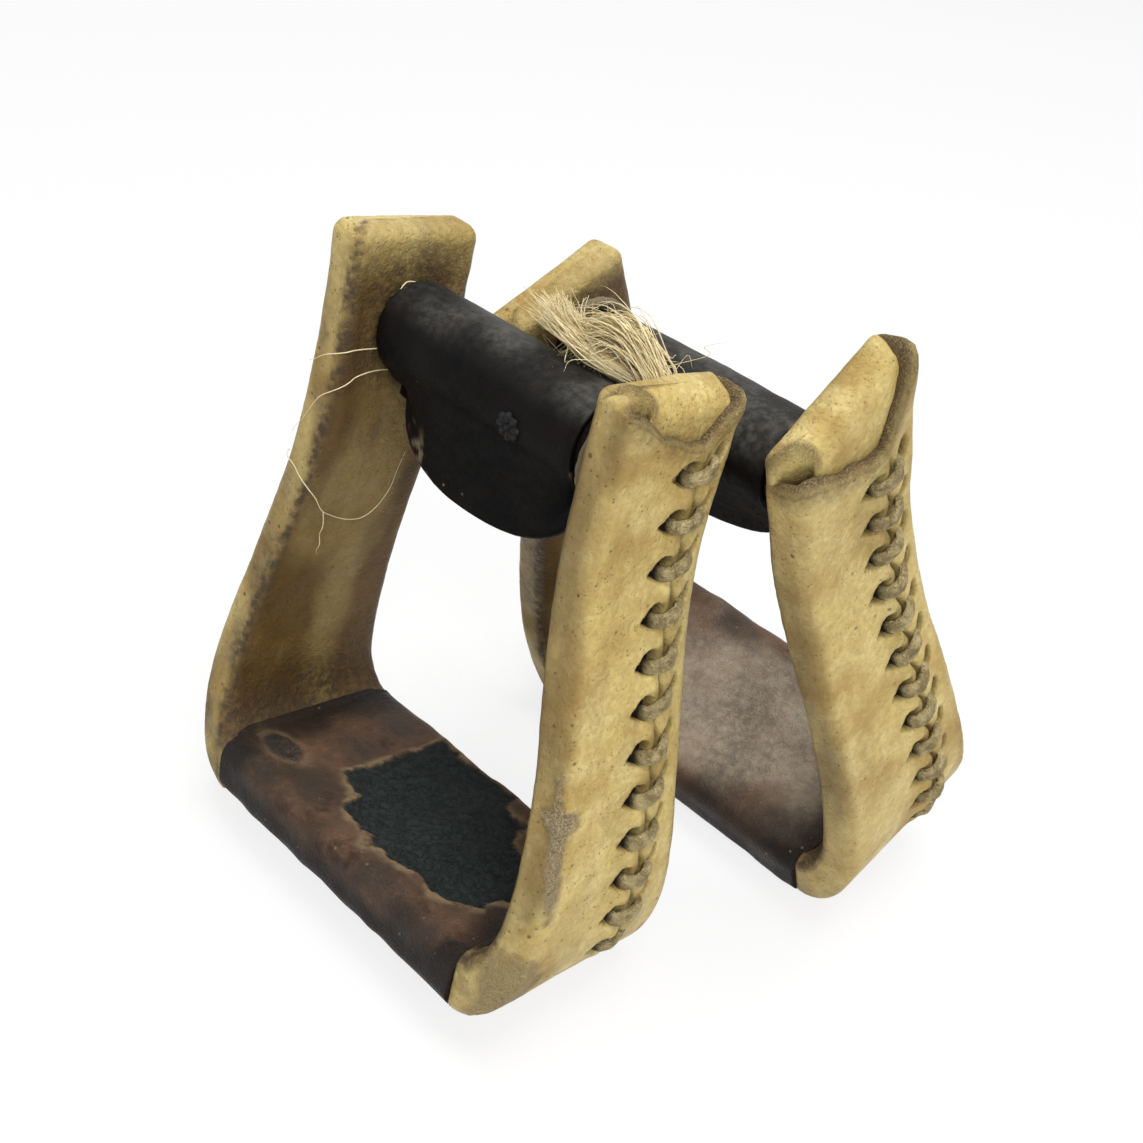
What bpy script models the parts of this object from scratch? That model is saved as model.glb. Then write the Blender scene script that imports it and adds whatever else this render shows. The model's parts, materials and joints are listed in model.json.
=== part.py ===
"""A pair of rawhide covered western stirrups, tied together at their rollers with twine.

Each stirrup is modelled upright in its own frame: X from leg to leg, Y through its depth, Z up, with the
origin under the middle of the tread. An empty for each stirrup then leans it, so that the pair stands like
a tent with the rollers side by side. Lengths are in metres and angles in radians.
"""

import math

import bmesh
import bpy
import numpy as np
from mathutils import Matrix, Vector

# Stirrup outline, seen from the front
HEIGHT = 0.185
BASE_HALF_WIDTH = 0.056
BELL_HALF_WIDTH = 0.0755
BELL_HEIGHT = 0.034
NECK_HALF_WIDTH = 0.0565
NECK_LENGTH = 0.035
LEG_THICKNESS = 0.013
TREAD_HEIGHT = 0.021

# Stirrup depth, front to back
BASE_HALF_DEPTH = 0.033
NECK_HALF_DEPTH = 0.0205
DEPTH_TAPER = 2.2

# Skins and rounded edges
RAWHIDE = 0.0022
TREAD_SKIN = 0.0024
EDGE_RADIUS = 0.005
CLEAR = 0.0003
LEAST_RADIUS = 0.001

# Roller, bolt and nut
ROLLER_BELOW_TOP = 0.025
ROLLER_RADIUS = 0.0113
ROLLER_END_GAP = 0.0006
SLEEVE_GAP = 0.00035
BOLT_RADIUS = 0.004
BOLT_HEAD_RADIUS = 0.007
BOLT_HEAD_THICKNESS = 0.0026
BOLT_RUNNING_GAP = 0.0003
NUT_WIDTH = 0.0115
NUT_THICKNESS = 0.0028
COUNTERBORE_GAP = 0.0006

# Neck leather: a sleeve on the roller with a D shaped flap below
SLEEVE_WALL = 0.0018
SLEEVE_LENGTH = 0.069
FLAP_DROP = 0.0225
FLAP_THICKNESS = 0.0042
FLAP_SET_FORWARD = 0.0024
FLAP_SHOULDER = 0.010
LEAVE_BELOW = math.radians(42.0)

# Rosette spot: a small flower headed stud in the sleeve's front
ROSETTE_SIDE = 0.013
ROSETTE_BELOW = math.radians(15.0)
ROSETTE_RADIUS = 0.0040
ROSETTE_HEIGHT = 0.0016
PRONG_RADIUS = 0.0009

# Lace: one flat strap whip stitched up the outer face of each leg
STITCHES = 12
STITCH_PITCH = 0.0130
TOP_STITCH_BELOW_TOP = 0.023
STITCH_HALF_SPAN = 0.0055
STITCH_SLANT = 0.0030
SEAM_OFFSET = 0.0095
LACE_WIDTH = 0.0052
LACE_THICKNESS = 0.0018
LACE_FLAT = 0.75
GROOVE_OVERRUN = 0.6
LACE_GAP = 0.0006
SLOT_GAP = 0.0006

# How the pair stands and is tied
LEAN_A = math.radians(10.0)
LEAN_B = math.radians(21.5)
PAIR_SHIFT = 0.0296
PAIR_GAP = 0.0006
TWINE_RADIUS = 0.0016
TWINE_PITCH = 0.0040
TWINE_GAP = 0.0004
TWINE_BEND = 0.007
TWINE_TAIL = 0.030

# Twine steps: share of the tail or bend, degrees round the roller, and distance from its axis
TAIL_STEPS = ((1.0, 66), (0.66, 62), (0.33, 58), (0.0, 54))
TAIL_FLAT = 0.33
DIP_STEPS = ((0.45, 51), (0.8, 42))
DIP_END = 26
FRONT_TURN = -300
LEAVE_STEPS = ((0.15, -324, "loop"), (0.55, -346, "near"), (1.2, -356, "middle"), (2.4, -360, "middle"))
ARRIVE_STEPS = ((2.6, 180, "middle"), (1.2, 181, "close"), (0.45, 188, "near"), (0.0, 204, "loop"))
REAR_START = 232
REAR_TURN = 270

# Fineness of the round stretches
CORNER_STEPS = 4
LEG_STEPS = 8
CROWN_STEPS = 3
ROUND_SIDES = 20
LOOP_STEP = math.radians(30.0)
LOOP_POINTS = 11
SHARP_ANGLE = math.radians(40.0)

NECK_HEIGHT = HEIGHT - NECK_LENGTH
ROLLER_HEIGHT = HEIGHT - ROLLER_BELOW_TOP
TOP_STITCH_HEIGHT = HEIGHT - TOP_STITCH_BELOW_TOP
SKIN_GAP = RAWHIDE + CLEAR
SLEEVE_BORE = ROLLER_RADIUS + SLEEVE_GAP
SLEEVE_RADIUS = SLEEVE_BORE + SLEEVE_WALL
NECK_INSIDE = NECK_HALF_WIDTH - LEG_THICKNESS
LACE_OUT = LACE_THICKNESS / 2 + LACE_GAP
LACE_IN = RAWHIDE + LACE_THICKNESS / 2 + LACE_GAP
GROOVE_DEPTH = LACE_IN + LACE_THICKNESS / 2 + LACE_GAP
SIDES = {"left": -1, "right": 1}

COLOURS = {
    "rawhide": ((0.62, 0.47, 0.22), 0.55, 0.0),
    "lace": ((0.30, 0.22, 0.13), 0.75, 0.0),
    "tread": ((0.09, 0.045, 0.03), 0.60, 0.0),
    "neck": ((0.02, 0.018, 0.018), 0.45, 0.0),
    "wood": ((0.40, 0.27, 0.14), 0.70, 0.0),
    "steel": ((0.32, 0.31, 0.30), 0.45, 1.0),
    "rivet": ((0.015, 0.015, 0.016), 0.40, 0.6),
    "twine": ((0.62, 0.50, 0.28), 0.85, 0.0),
}


# Scene, collections and materials

def clear_scene():
    """Remove every object that is already there."""
    for obj in list(bpy.data.objects):
        bpy.data.objects.remove(obj, do_unlink=True)


def new_collection(name):
    """Make a collection in the scene."""
    collection = bpy.data.collections.new(name)
    bpy.context.scene.collection.children.link(collection)
    return collection


def new_material(name, slot):
    """Make a Principled material for one object from its slot's colour."""
    colour, roughness, metallic = COLOURS[slot]
    material = bpy.data.materials.new(name)
    material.use_nodes = True
    shader = material.node_tree.nodes["Principled BSDF"]
    shader.inputs["Base Color"].default_value = (*colour, 1.0)
    shader.inputs["Roughness"].default_value = roughness
    shader.inputs["Metallic"].default_value = metallic
    return material


class Workshop:
    """Where finished pieces and their cutters go."""

    def __init__(self):
        self.parts = new_collection("stirrup_pair")
        self.cutters = new_collection("cutters")

    def piece(self, name, mesh, slot, parent=None, location=(0, 0, 0)):
        """Add one named piece with its own material."""
        mesh.materials.clear()
        mesh.materials.append(new_material(name, slot))
        mesh.shade_smooth()
        mesh.set_sharp_from_angle(angle=SHARP_ANGLE)
        obj = bpy.data.objects.new(name, mesh)
        self.parts.objects.link(obj)
        obj.parent = parent
        obj.location = location
        return obj

    def cutter(self, name, mesh):
        """Add a hidden object that only cuts other pieces."""
        obj = bpy.data.objects.new(name, mesh)
        self.cutters.objects.link(obj)
        obj.hide_render = True
        obj.display_type = "WIRE"
        return obj

    def cut(self, mesh, cutter, operation="DIFFERENCE"):
        """Return a mesh cut by, joined to or kept inside a cutter object."""
        work = bpy.data.objects.new("work", mesh)
        self.cutters.objects.link(work)
        modifier = work.modifiers.new("cut", "BOOLEAN")
        modifier.operation = operation
        modifier.object = cutter
        bpy.context.view_layer.update()
        result = bpy.data.meshes.new_from_object(work.evaluated_get(bpy.context.evaluated_depsgraph_get()))
        bpy.data.objects.remove(work)
        return result


# Mesh builders

def mesh_from(verts, faces, name="shape"):
    """Make a mesh whose faces all point out."""
    mesh = bpy.data.meshes.new(name)
    mesh.from_pydata([tuple(v) for v in verts], [], faces)
    bm = bmesh.new()
    bm.from_mesh(mesh)
    bmesh.ops.recalc_face_normals(bm, faces=bm.faces)
    bm.to_mesh(mesh)
    bm.free()
    return mesh


def band_faces(first, second, count):
    """Quads between two rings of the same count, given the index of each ring's first point."""
    return [(first + k, first + (k + 1) % count, second + (k + 1) % count, second + k) for k in range(count)]


def loft(rings):
    """A closed solid through rings of points, capped at both ends."""
    count = len(rings[0])
    verts = [point for ring in rings for point in ring]
    faces = []
    for i in range(len(rings) - 1):
        faces += band_faces(i * count, (i + 1) * count, count)
    faces.append(tuple(range(count)))
    faces.append(tuple(range((len(rings) - 1) * count, len(rings) * count)))
    return mesh_from(verts, faces)


def pocket(outer, inner, open_both_ends=False):
    """A shell between outer and inner rings, open at the first ring and, if asked, at the last."""
    count = len(outer[0])
    verts = [point for ring in outer + inner for point in ring]
    start = len(outer) * count
    faces = []
    for i in range(len(outer) - 1):
        faces += band_faces(i * count, (i + 1) * count, count)
    for i in range(len(inner) - 1):
        faces += band_faces(start + i * count, start + (i + 1) * count, count)
    last_outer = (len(outer) - 1) * count
    last_inner = start + (len(inner) - 1) * count
    faces += band_faces(0, start, count)
    if open_both_ends:
        faces += band_faces(last_outer, last_inner, count)
    else:
        faces.append(tuple(range(last_outer, last_outer + count)))
        faces.append(tuple(range(last_inner, last_inner + count)))
    return mesh_from(verts, faces)


def rod(radius, length, sides=ROUND_SIDES, axis="X", centre=(0, 0, 0)):
    """A cylinder along one axis."""
    turn = {"X": Matrix.Rotation(math.pi / 2, 4, "Y"), "Y": Matrix.Rotation(math.pi / 2, 4, "X"),
            "Z": Matrix.Identity(4)}[axis]
    bm = bmesh.new()
    bmesh.ops.create_cone(bm, cap_ends=True, segments=sides, radius1=radius, radius2=radius, depth=length,
                          matrix=Matrix.Translation(centre) @ turn)
    mesh = bpy.data.meshes.new("rod")
    bm.to_mesh(mesh)
    bm.free()
    return mesh


def boxes(placements):
    """Several separate boxes in one cutter mesh, each from a matrix that scales a unit cube."""
    bm = bmesh.new()
    for matrix in placements:
        bmesh.ops.create_cube(bm, size=1.0, matrix=matrix)
    bmesh.ops.recalc_face_normals(bm, faces=bm.faces)
    mesh = bpy.data.meshes.new("boxes")
    bm.to_mesh(mesh)
    bm.free()
    return mesh


def extrude_outline(outline, length, plane):
    """A flat outline extruded both ways along the axis that its plane leaves out."""
    half = length / 2
    lift = {"YZ": lambda p, h: (h, p[0], p[1]), "XZ": lambda p, h: (p[0], h, p[1])}[plane]
    return loft([[lift(p, -half) for p in outline], [lift(p, half) for p in outline]])


# The stirrup's outline and sections

def ease(value):
    """A smooth step from 0 to 1."""
    value = min(max(value, 0.0), 1.0)
    return value * value * (3 - 2 * value)


def outer_half_width(height):
    """Half of the outside width above the bell."""
    share = ease((height - BELL_HEIGHT) / (NECK_HEIGHT - BELL_HEIGHT))
    return BELL_HALF_WIDTH + (NECK_HALF_WIDTH - BELL_HALF_WIDTH) * share


def half_depth(height):
    """Half of the depth, which tapers from the tread up to the neck."""
    share = max(1.0 - max(height, 0.0) / NECK_HEIGHT, 0.0) ** DEPTH_TAPER
    return NECK_HALF_DEPTH + (BASE_HALF_DEPTH - NECK_HALF_DEPTH) * share


def leg_stations():
    """Outer and inner points of the right leg, from the tread round the corner to the crown's base."""
    stations = []
    inner_bell = BELL_HALF_WIDTH - LEG_THICKNESS
    for step in range(CORNER_STEPS):
        turn = math.pi / 2 * step / CORNER_STEPS
        out, up = math.sin(turn), 1 - math.cos(turn)
        outer = (BASE_HALF_WIDTH + (BELL_HALF_WIDTH - BASE_HALF_WIDTH) * out, BELL_HEIGHT * up)
        inner = (BASE_HALF_WIDTH + (inner_bell - BASE_HALF_WIDTH) * out,
                 TREAD_HEIGHT + (BELL_HEIGHT - TREAD_HEIGHT) * up)
        stations.append((outer, inner))
    for height in np.linspace(BELL_HEIGHT, HEIGHT - EDGE_RADIUS, LEG_STEPS + 1):
        width = outer_half_width(height)
        stations.append(((width, height), (width - LEG_THICKNESS, height)))
    return stations


def section(outer, inner, inset, edge=EDGE_RADIUS, rise=0.0):
    """A rounded rectangle across the leg between an outer and an inner point, shrunk by an inset."""
    outer, inner = np.array(outer), np.array(inner)
    middle = (outer + inner) / 2
    across = (outer - inner) / np.linalg.norm(outer - inner)
    half_across = np.linalg.norm(outer - inner) / 2 - inset
    depth = half_depth(middle[1]) - inset
    radius = max(edge - inset, LEAST_RADIUS)
    ring = []
    for quarter, (sx, sy) in enumerate(((1, 1), (-1, 1), (-1, -1), (1, -1))):
        for step in range(3):
            turn = math.pi / 2 * quarter + math.pi / 4 * step
            a = sx * (half_across - radius) + radius * math.cos(turn)
            b = sy * (depth - radius) + radius * math.sin(turn)
            ring.append((middle[0] + across[0] * a, b, middle[1] + across[1] * a + rise))
    return ring


def mirrored(ring):
    """The same ring on the left leg."""
    return [(-x, y, z) for x, y, z in ring]


def leg_rings(inset):
    """Rings of the right leg from the tread to its rounded crown, shrunk by an inset."""
    stations = leg_stations()
    rings = [section(outer, inner, inset) for outer, inner in stations]
    radius = EDGE_RADIUS - inset
    for step in range(1, CROWN_STEPS + 1):
        turn = math.pi / 2 * step / CROWN_STEPS
        shrink = inset + radius * (1 - math.cos(turn))
        rings.append(section(*stations[-1], shrink, rise=radius * math.sin(turn)))
    return rings


def tread_ring(side, inset):
    """A ring round the tread at one distance from the middle."""
    return section((side, 0.0), (side, TREAD_HEIGHT), inset)


class Seam:
    """The laced seam up the outer face of the right leg, measured along the leg from its lower end."""

    def __init__(self):
        points = np.array([outer for outer, _ in leg_stations()])
        self.points = points
        self.along = np.concatenate([[0.0], np.cumsum(np.linalg.norm(np.diff(points, axis=0), axis=1))])
        top = np.interp(TOP_STITCH_HEIGHT, points[:, 1], self.along)
        self.stitches = [top - STITCH_PITCH * k for k in reversed(range(STITCHES))]

    def at(self, distance):
        """The outer face's point in X and Z at a distance along the seam."""
        return np.array([np.interp(distance, self.along, self.points[:, k]) for k in range(2)])

    def frame(self, distance):
        """Point, upward direction and outward direction on the outer face, in X and Z."""
        reach = STITCH_PITCH / 3
        up = self.at(distance + reach) - self.at(distance - reach)
        up /= np.linalg.norm(up)
        return self.at(distance), up, np.array([up[1], -up[0]])

    def place(self, distance, across, lift):
        """A point over the seam: across it in Y and lifted off the outer face."""
        point, _, out = self.frame(distance)
        spot = point + out * lift
        return np.array([spot[0], SEAM_OFFSET + across, spot[1]])

    def direction(self, distance):
        """The upward direction as a vector in X, Y and Z."""
        _, up, _ = self.frame(distance)
        return np.array([up[0], 0.0, up[1]])


def lace_route(seam):
    """Centre points of the lace: out of the left slot, over the seam, in at the right slot, and back under."""
    route = []
    crown = LACE_OUT + LACE_THICKNESS / 3
    for stitch in seam.stitches:
        low, high = stitch - STITCH_SLANT / 2, stitch + STITCH_SLANT / 2
        near = STITCH_HALF_SPAN - LACE_THICKNESS
        route += [(low, -STITCH_HALF_SPAN, -LACE_IN), (low, -STITCH_HALF_SPAN, LACE_OUT),
                  (low, -near, crown), (stitch, 0.0, crown), (high, near, crown),
                  (high, STITCH_HALF_SPAN, LACE_OUT), (high, STITCH_HALF_SPAN, -LACE_IN),
                  (high + STITCH_PITCH / 2 - STITCH_SLANT / 2, 0.0, -LACE_IN)]
    return route[:-1]


def lace_mesh(seam, side):
    """One unbroken flat strap along the lace route."""
    route = lace_route(seam)
    flat = np.array([(across, lift) for _, across, lift in route])
    rings = []
    for i, (distance, across, lift) in enumerate(route):
        legs = []
        if i > 0:
            legs.append(flat[i] - flat[i - 1])
        if i < len(route) - 1:
            legs.append(flat[i + 1] - flat[i])
        legs = [leg / np.linalg.norm(leg) for leg in legs]
        mean = sum(legs) / np.linalg.norm(sum(legs))
        miter = 1.0 / max(float(mean @ legs[0]), 0.5)
        thick = np.array([-mean[1], mean[0]]) * (LACE_THICKNESS / 2 * miter)
        wide = seam.direction(distance) * (LACE_WIDTH / 2)
        ring = []
        for w, t in ((1.0, 0.0), (LACE_FLAT, 1.0), (-LACE_FLAT, 1.0),
                     (-1.0, 0.0), (-LACE_FLAT, -1.0), (LACE_FLAT, -1.0)):
            spot = seam.place(distance, across + t * thick[0], lift + t * thick[1]) + w * wide
            ring.append((side * spot[0], spot[1], spot[2]))
        rings.append(ring)
    return loft(rings)


def least_lace_gap(seam):
    """The least clear distance between neighbouring turns of the lace, measured on its centre points."""
    spots = np.array([seam.place(*point) for point in lace_route(seam)])
    turn = len(spots) // STITCHES + 1
    least = min(np.linalg.norm(spots[i] - spots[j]) for i in range(len(spots))
                for j in range(i + turn, len(spots)))
    return least - LACE_WIDTH


def slot_cutter(seam, side):
    """Boxes for the slots that the lace passes through, left and right of the seam."""
    placements = []
    deep = RAWHIDE + 4 * CLEAR
    for stitch in seam.stitches:
        for sign in (-1, 1):
            distance = stitch + sign * STITCH_SLANT / 2
            _, up, out = seam.frame(distance)
            spot = seam.place(distance, sign * STITCH_HALF_SPAN, (LACE_OUT - deep) / 2)
            up3 = Vector((side * up[0], 0.0, up[1]))
            out3 = Vector((side * out[0], 0.0, out[1]))
            turn = Matrix((out3, Vector((0, 1, 0)), up3)).transposed().to_4x4()
            size = Matrix.Diagonal((LACE_OUT + deep, LACE_THICKNESS + 2 * SLOT_GAP, LACE_WIDTH + 2 * SLOT_GAP, 1))
            placements.append(Matrix.Translation((side * spot[0], spot[1], spot[2])) @ turn @ size)
    return boxes(placements)


def groove_cutter(seam, side):
    """A long shallow trough under the seam that leaves room for the lace behind the rawhide."""
    half = STITCH_HALF_SPAN + LACE_THICKNESS / 2 + SLOT_GAP
    ends = STITCH_PITCH * GROOVE_OVERRUN
    rings = []
    for distance in np.linspace(seam.stitches[0] - ends, seam.stitches[-1] + ends, 2 * LEG_STEPS):
        corners = ((-half, -GROOVE_DEPTH), (half, -GROOVE_DEPTH), (half, 0.0), (-half, 0.0))
        spots = [seam.place(distance, across, lift) for across, lift in corners]
        rings.append([(side * x, y, z) for x, y, z in spots])
    return loft(rings)


# The pieces of one stirrup

class Stirrup:
    """One stirrup and the empty that leans it."""

    def __init__(self, shop, suffix, lean):
        self.shop = shop
        self.suffix = suffix
        self.lean = lean
        self.seam = Seam()
        self.empty = bpy.data.objects.new("stirrup_" + suffix, None)
        shop.parts.objects.link(self.empty)
        self.empty.rotation_euler = (lean, 0, 0)

    def name(self, piece):
        """The node's name with the stirrup's suffix."""
        return f"{piece}_{self.suffix}"

    def lowest(self):
        """How far the leaning stirrup reaches below its own origin."""
        turn = Matrix.Rotation(self.lean, 3, "X")
        return min((turn @ Vector(point)).z for point in tread_ring(BASE_HALF_WIDTH, 0.0))

    def reach(self):
        """The leaning stirrup's least and greatest Y about its own origin."""
        turn = Matrix.Rotation(self.lean, 3, "X")
        spots = [(turn @ Vector(point)).y for ring in leg_rings(0.0) for point in ring]
        return min(spots), max(spots)

    def roller_axis(self):
        """Y and Z of the roller's axis about the stirrup's own origin once it leans."""
        spot = Matrix.Rotation(self.lean, 3, "X") @ Vector((0, 0, ROLLER_HEIGHT))
        return spot.y, spot.z

    def build(self):
        """Make every piece of the stirrup."""
        self.wood_frame()
        for word, side in SIDES.items():
            self.rawhide(word, side)
            self.shop.piece(self.name("lace_" + word), lace_mesh(self.seam, side), "lace", self.empty)
        self.tread_leather()
        self.bolt_and_nut()
        self.roller()
        self.neck_leather()
        self.rosette_spot()

    def wood_frame(self):
        """The bent wood U inside the covers, bored for the bolt and grooved for the lace."""
        right = leg_rings(SKIN_GAP)[:-CROWN_STEPS]
        tread = tread_ring(BASE_HALF_WIDTH - 4 * CLEAR, TREAD_SKIN + CLEAR)
        left = [mirrored(ring) for ring in right]
        mesh = loft(list(reversed(right)) + [tread, mirrored(tread)] + left)
        seat = self.counterbore_depth()
        length = 2 * NECK_HALF_WIDTH
        height = (0, 0, ROLLER_HEIGHT)
        cutters = [rod(BOLT_RADIUS + BOLT_RUNNING_GAP, length, centre=height)]
        for side, radius in ((-1, BOLT_HEAD_RADIUS), (1, NUT_WIDTH / math.sqrt(2))):
            middle = side * (NECK_HALF_WIDTH - seat / 2)
            cutters.append(rod(radius + COUNTERBORE_GAP, seat, centre=(middle, 0, ROLLER_HEIGHT)))
        cutters += [groove_cutter(self.seam, side) for side in SIDES.values()]
        for number, cutter in enumerate(cutters):
            mesh = self.shop.cut(mesh, self.shop.cutter(self.name(f"wood_cutter_{number}"), cutter))
        self.shop.piece(self.name("wood_frame"), mesh, "wood", self.empty)

    @staticmethod
    def counterbore_depth():
        """Depth of the bolt head's and nut's seats below the leg's outer face, clear of the lace."""
        return GROOVE_DEPTH + max(BOLT_HEAD_THICKNESS, NUT_THICKNESS) + CLEAR

    def rawhide(self, word, side):
        """The rawhide cover of one leg: a pocket with lace slots and a bolt hole."""
        outer, inner = leg_rings(0.0), leg_rings(RAWHIDE)
        if side < 0:
            outer, inner = [mirrored(r) for r in outer], [mirrored(r) for r in inner]
        mesh = pocket(outer, inner)
        slots = self.shop.cutter(self.name(f"{word}_slots"), slot_cutter(self.seam, side))
        mesh = self.shop.cut(mesh, slots)
        middle = (side * NECK_INSIDE, 0, ROLLER_HEIGHT)
        hole = rod(BOLT_RADIUS + BOLT_RUNNING_GAP, 4 * RAWHIDE, centre=middle)
        mesh = self.shop.cut(mesh, self.shop.cutter(self.name(f"{word}_bolt_hole"), hole))
        self.shop.piece(self.name("rawhide_" + word), mesh, "rawhide", self.empty)

    def tread_leather(self):
        """The leather wrapped round the tread between the two rawhide covers."""
        end = BASE_HALF_WIDTH - CLEAR
        outer = [tread_ring(x, 0.0) for x in (-end, end)]
        inner = [tread_ring(x, TREAD_SKIN) for x in (-end, end)]
        self.shop.piece(self.name("tread_leather"), pocket(outer, inner, True), "tread", self.empty)

    def bolt_and_nut(self):
        """The neck bolt, its head in the left leg and its square nut in the right one."""
        face = NECK_HALF_WIDTH - GROOVE_DEPTH
        bolt = rod(BOLT_RADIUS, 2 * face)
        overlap = BOLT_HEAD_THICKNESS / 2
        head = rod(BOLT_HEAD_RADIUS, BOLT_HEAD_THICKNESS, centre=(overlap - face, 0, 0))
        bolt = self.shop.cut(bolt, self.shop.cutter(self.name("bolt_head"), head), "UNION")
        place = (0, 0, ROLLER_HEIGHT)
        self.shop.piece(self.name("neck_bolt"), bolt, "steel", self.empty, place)
        nut = boxes([Matrix.Translation((face - NUT_THICKNESS / 2, 0, 0))
                     @ Matrix.Diagonal((NUT_THICKNESS, NUT_WIDTH, NUT_WIDTH, 1))])
        thread = self.shop.cutter(self.name("nut_bore"), rod(BOLT_RADIUS + CLEAR, 4 * face))
        self.shop.piece(self.name("bolt_nut"), self.shop.cut(nut, thread), "steel", self.empty, place)

    def roller(self):
        """The turned wood roller on the bolt."""
        length = 2 * (NECK_INSIDE - ROLLER_END_GAP)
        bore = self.shop.cutter(self.name("roller_bore"), rod(BOLT_RADIUS + BOLT_RUNNING_GAP, 2 * length))
        mesh = self.shop.cut(rod(ROLLER_RADIUS, length, 2 * ROUND_SIDES), bore)
        self.shop.piece(self.name("roller"), mesh, "wood", self.empty, (0, 0, ROLLER_HEIGHT))

    @staticmethod
    def flap_faces():
        """Y of the flap's front and rear faces about the roller's axis."""
        return -FLAP_SET_FORWARD - FLAP_THICKNESS / 2, -FLAP_SET_FORWARD + FLAP_THICKNESS / 2

    @staticmethod
    def flap_join(reach):
        """Height where the line that leaves the sleeve at a tangent has come in to a reach from the middle."""
        return (reach * math.cos(LEAVE_BELOW) - SLEEVE_RADIUS) / math.sin(LEAVE_BELOW)

    def neck_leather(self):
        """The leather sleeve on the roller, drawn together below into a D shaped flap."""
        front, rear = self.flap_faces()
        outline = []
        for turn in np.linspace(-LEAVE_BELOW, math.pi + LEAVE_BELOW, ROUND_SIDES + 1):
            outline.append((SLEEVE_RADIUS * math.cos(turn), SLEEVE_RADIUS * math.sin(turn)))
        bottom = -SLEEVE_RADIUS - FLAP_DROP
        outline += [(front, self.flap_join(-front)), (front, 2 * bottom),
                    (rear, 2 * bottom), (rear, self.flap_join(rear))]
        mesh = extrude_outline(outline, SLEEVE_LENGTH, "YZ")
        half = SLEEVE_LENGTH / 2 + CLEAR
        shape = [(-half, 2 * SLEEVE_RADIUS), (half, 2 * SLEEVE_RADIUS)]
        for turn in np.linspace(0, math.pi, ROUND_SIDES):
            shape.append((half * math.cos(turn), -FLAP_SHOULDER + (bottom + FLAP_SHOULDER) * math.sin(turn)))
        trim = self.shop.cutter(self.name("flap_outline"), extrude_outline(shape, 4 * SLEEVE_RADIUS, "XZ"))
        mesh = self.shop.cut(mesh, trim, "INTERSECT")
        bore = self.shop.cutter(self.name("sleeve_bore"), rod(SLEEVE_BORE / math.cos(math.pi / (2 * ROUND_SIDES)),
                                                               2 * SLEEVE_LENGTH, 2 * ROUND_SIDES))
        mesh = self.shop.cut(mesh, bore)
        hole = rod(PRONG_RADIUS + CLEAR, SLEEVE_RADIUS, axis="Y", centre=(ROSETTE_SIDE, -SLEEVE_RADIUS, 0))
        hole.transform(Matrix.Rotation(ROSETTE_BELOW, 4, "X"))
        mesh = self.shop.cut(mesh, self.shop.cutter(self.name("prong_hole"), hole))
        self.shop.piece(self.name("neck_leather"), mesh, "neck", self.empty, (0, 0, ROLLER_HEIGHT))

    def rosette_spot(self):
        """The rosette on the sleeve's front, with its prong in the sleeve's wall."""
        seat = SLEEVE_RADIUS + CLEAR
        face = seat + ROSETTE_HEIGHT
        root = SLEEVE_BORE + CLEAR
        head = rod(ROSETTE_RADIUS, ROSETTE_HEIGHT, axis="Y", centre=(0, -(seat + face) / 2, 0))
        overlap = seat + ROSETTE_HEIGHT / 2
        prong = rod(PRONG_RADIUS, overlap - root, axis="Y", centre=(0, -(overlap + root) / 2, 0))
        mesh = self.shop.cut(head, self.shop.cutter(self.name("prong"), prong), "UNION")
        spot = self.shop.piece(self.name("rosette_spot"), mesh, "rivet", self.empty,
                               (ROSETTE_SIDE, 0, ROLLER_HEIGHT))
        spot.rotation_euler = (ROSETTE_BELOW, 0, 0)


# The twine that ties the two rollers

def around(centre, along, degrees, radius):
    """A point along a roller from its centre and at an angle round it, from +Y towards +Z."""
    turn = math.radians(degrees)
    return centre + Vector((along, radius * math.cos(turn), radius * math.sin(turn)))


def twine_route(roller_a, roller_b):
    """Route of the twine: tail on the front sleeve, a turn round each roller, and the run between them."""
    loop = (ROLLER_RADIUS + TWINE_RADIUS + TWINE_GAP) / math.cos(LOOP_STEP / 2)
    over = SLEEVE_RADIUS + TWINE_RADIUS + 2 * TWINE_GAP
    middle = (roller_b.y - roller_a.y) / 2
    room = (NECK_INSIDE + SLEEVE_LENGTH / 2) / 2
    near, far = room - TWINE_PITCH / 2, room + TWINE_PITCH / 2
    start = near - TWINE_BEND
    turns = np.linspace(0.0, 1.0, LOOP_POINTS)
    route = []
    for share, degrees in TAIL_STEPS:
        rise = max(share - TAIL_FLAT, 0.0) / (1 - TAIL_FLAT)
        route.append(around(roller_a, start - TWINE_TAIL * share, degrees, over + 2 * TWINE_RADIUS * rise))
    for share, degrees in DIP_STEPS:
        route.append(around(roller_a, start + TWINE_BEND * share, degrees, over))
    route.append(around(roller_a, near, DIP_END, over - TWINE_GAP))
    for share in turns:
        route.append(around(roller_a, near + TWINE_PITCH * share, FRONT_TURN * share, loop))
    lift = {"loop": loop + TWINE_RADIUS, "near": middle - TWINE_RADIUS, "close": middle - TWINE_GAP,
            "middle": middle}
    for share, degrees, level in LEAVE_STEPS:
        route.append(around(roller_a, far - TWINE_BEND * share, degrees, lift[level]))
    for share, degrees, level in ARRIVE_STEPS:
        route.append(around(roller_b, TWINE_BEND * share - near, degrees, lift[level]))
    for share in turns:
        route.append(around(roller_b, -near - TWINE_PITCH * share, REAR_START + REAR_TURN * share, loop))
    return route


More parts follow.
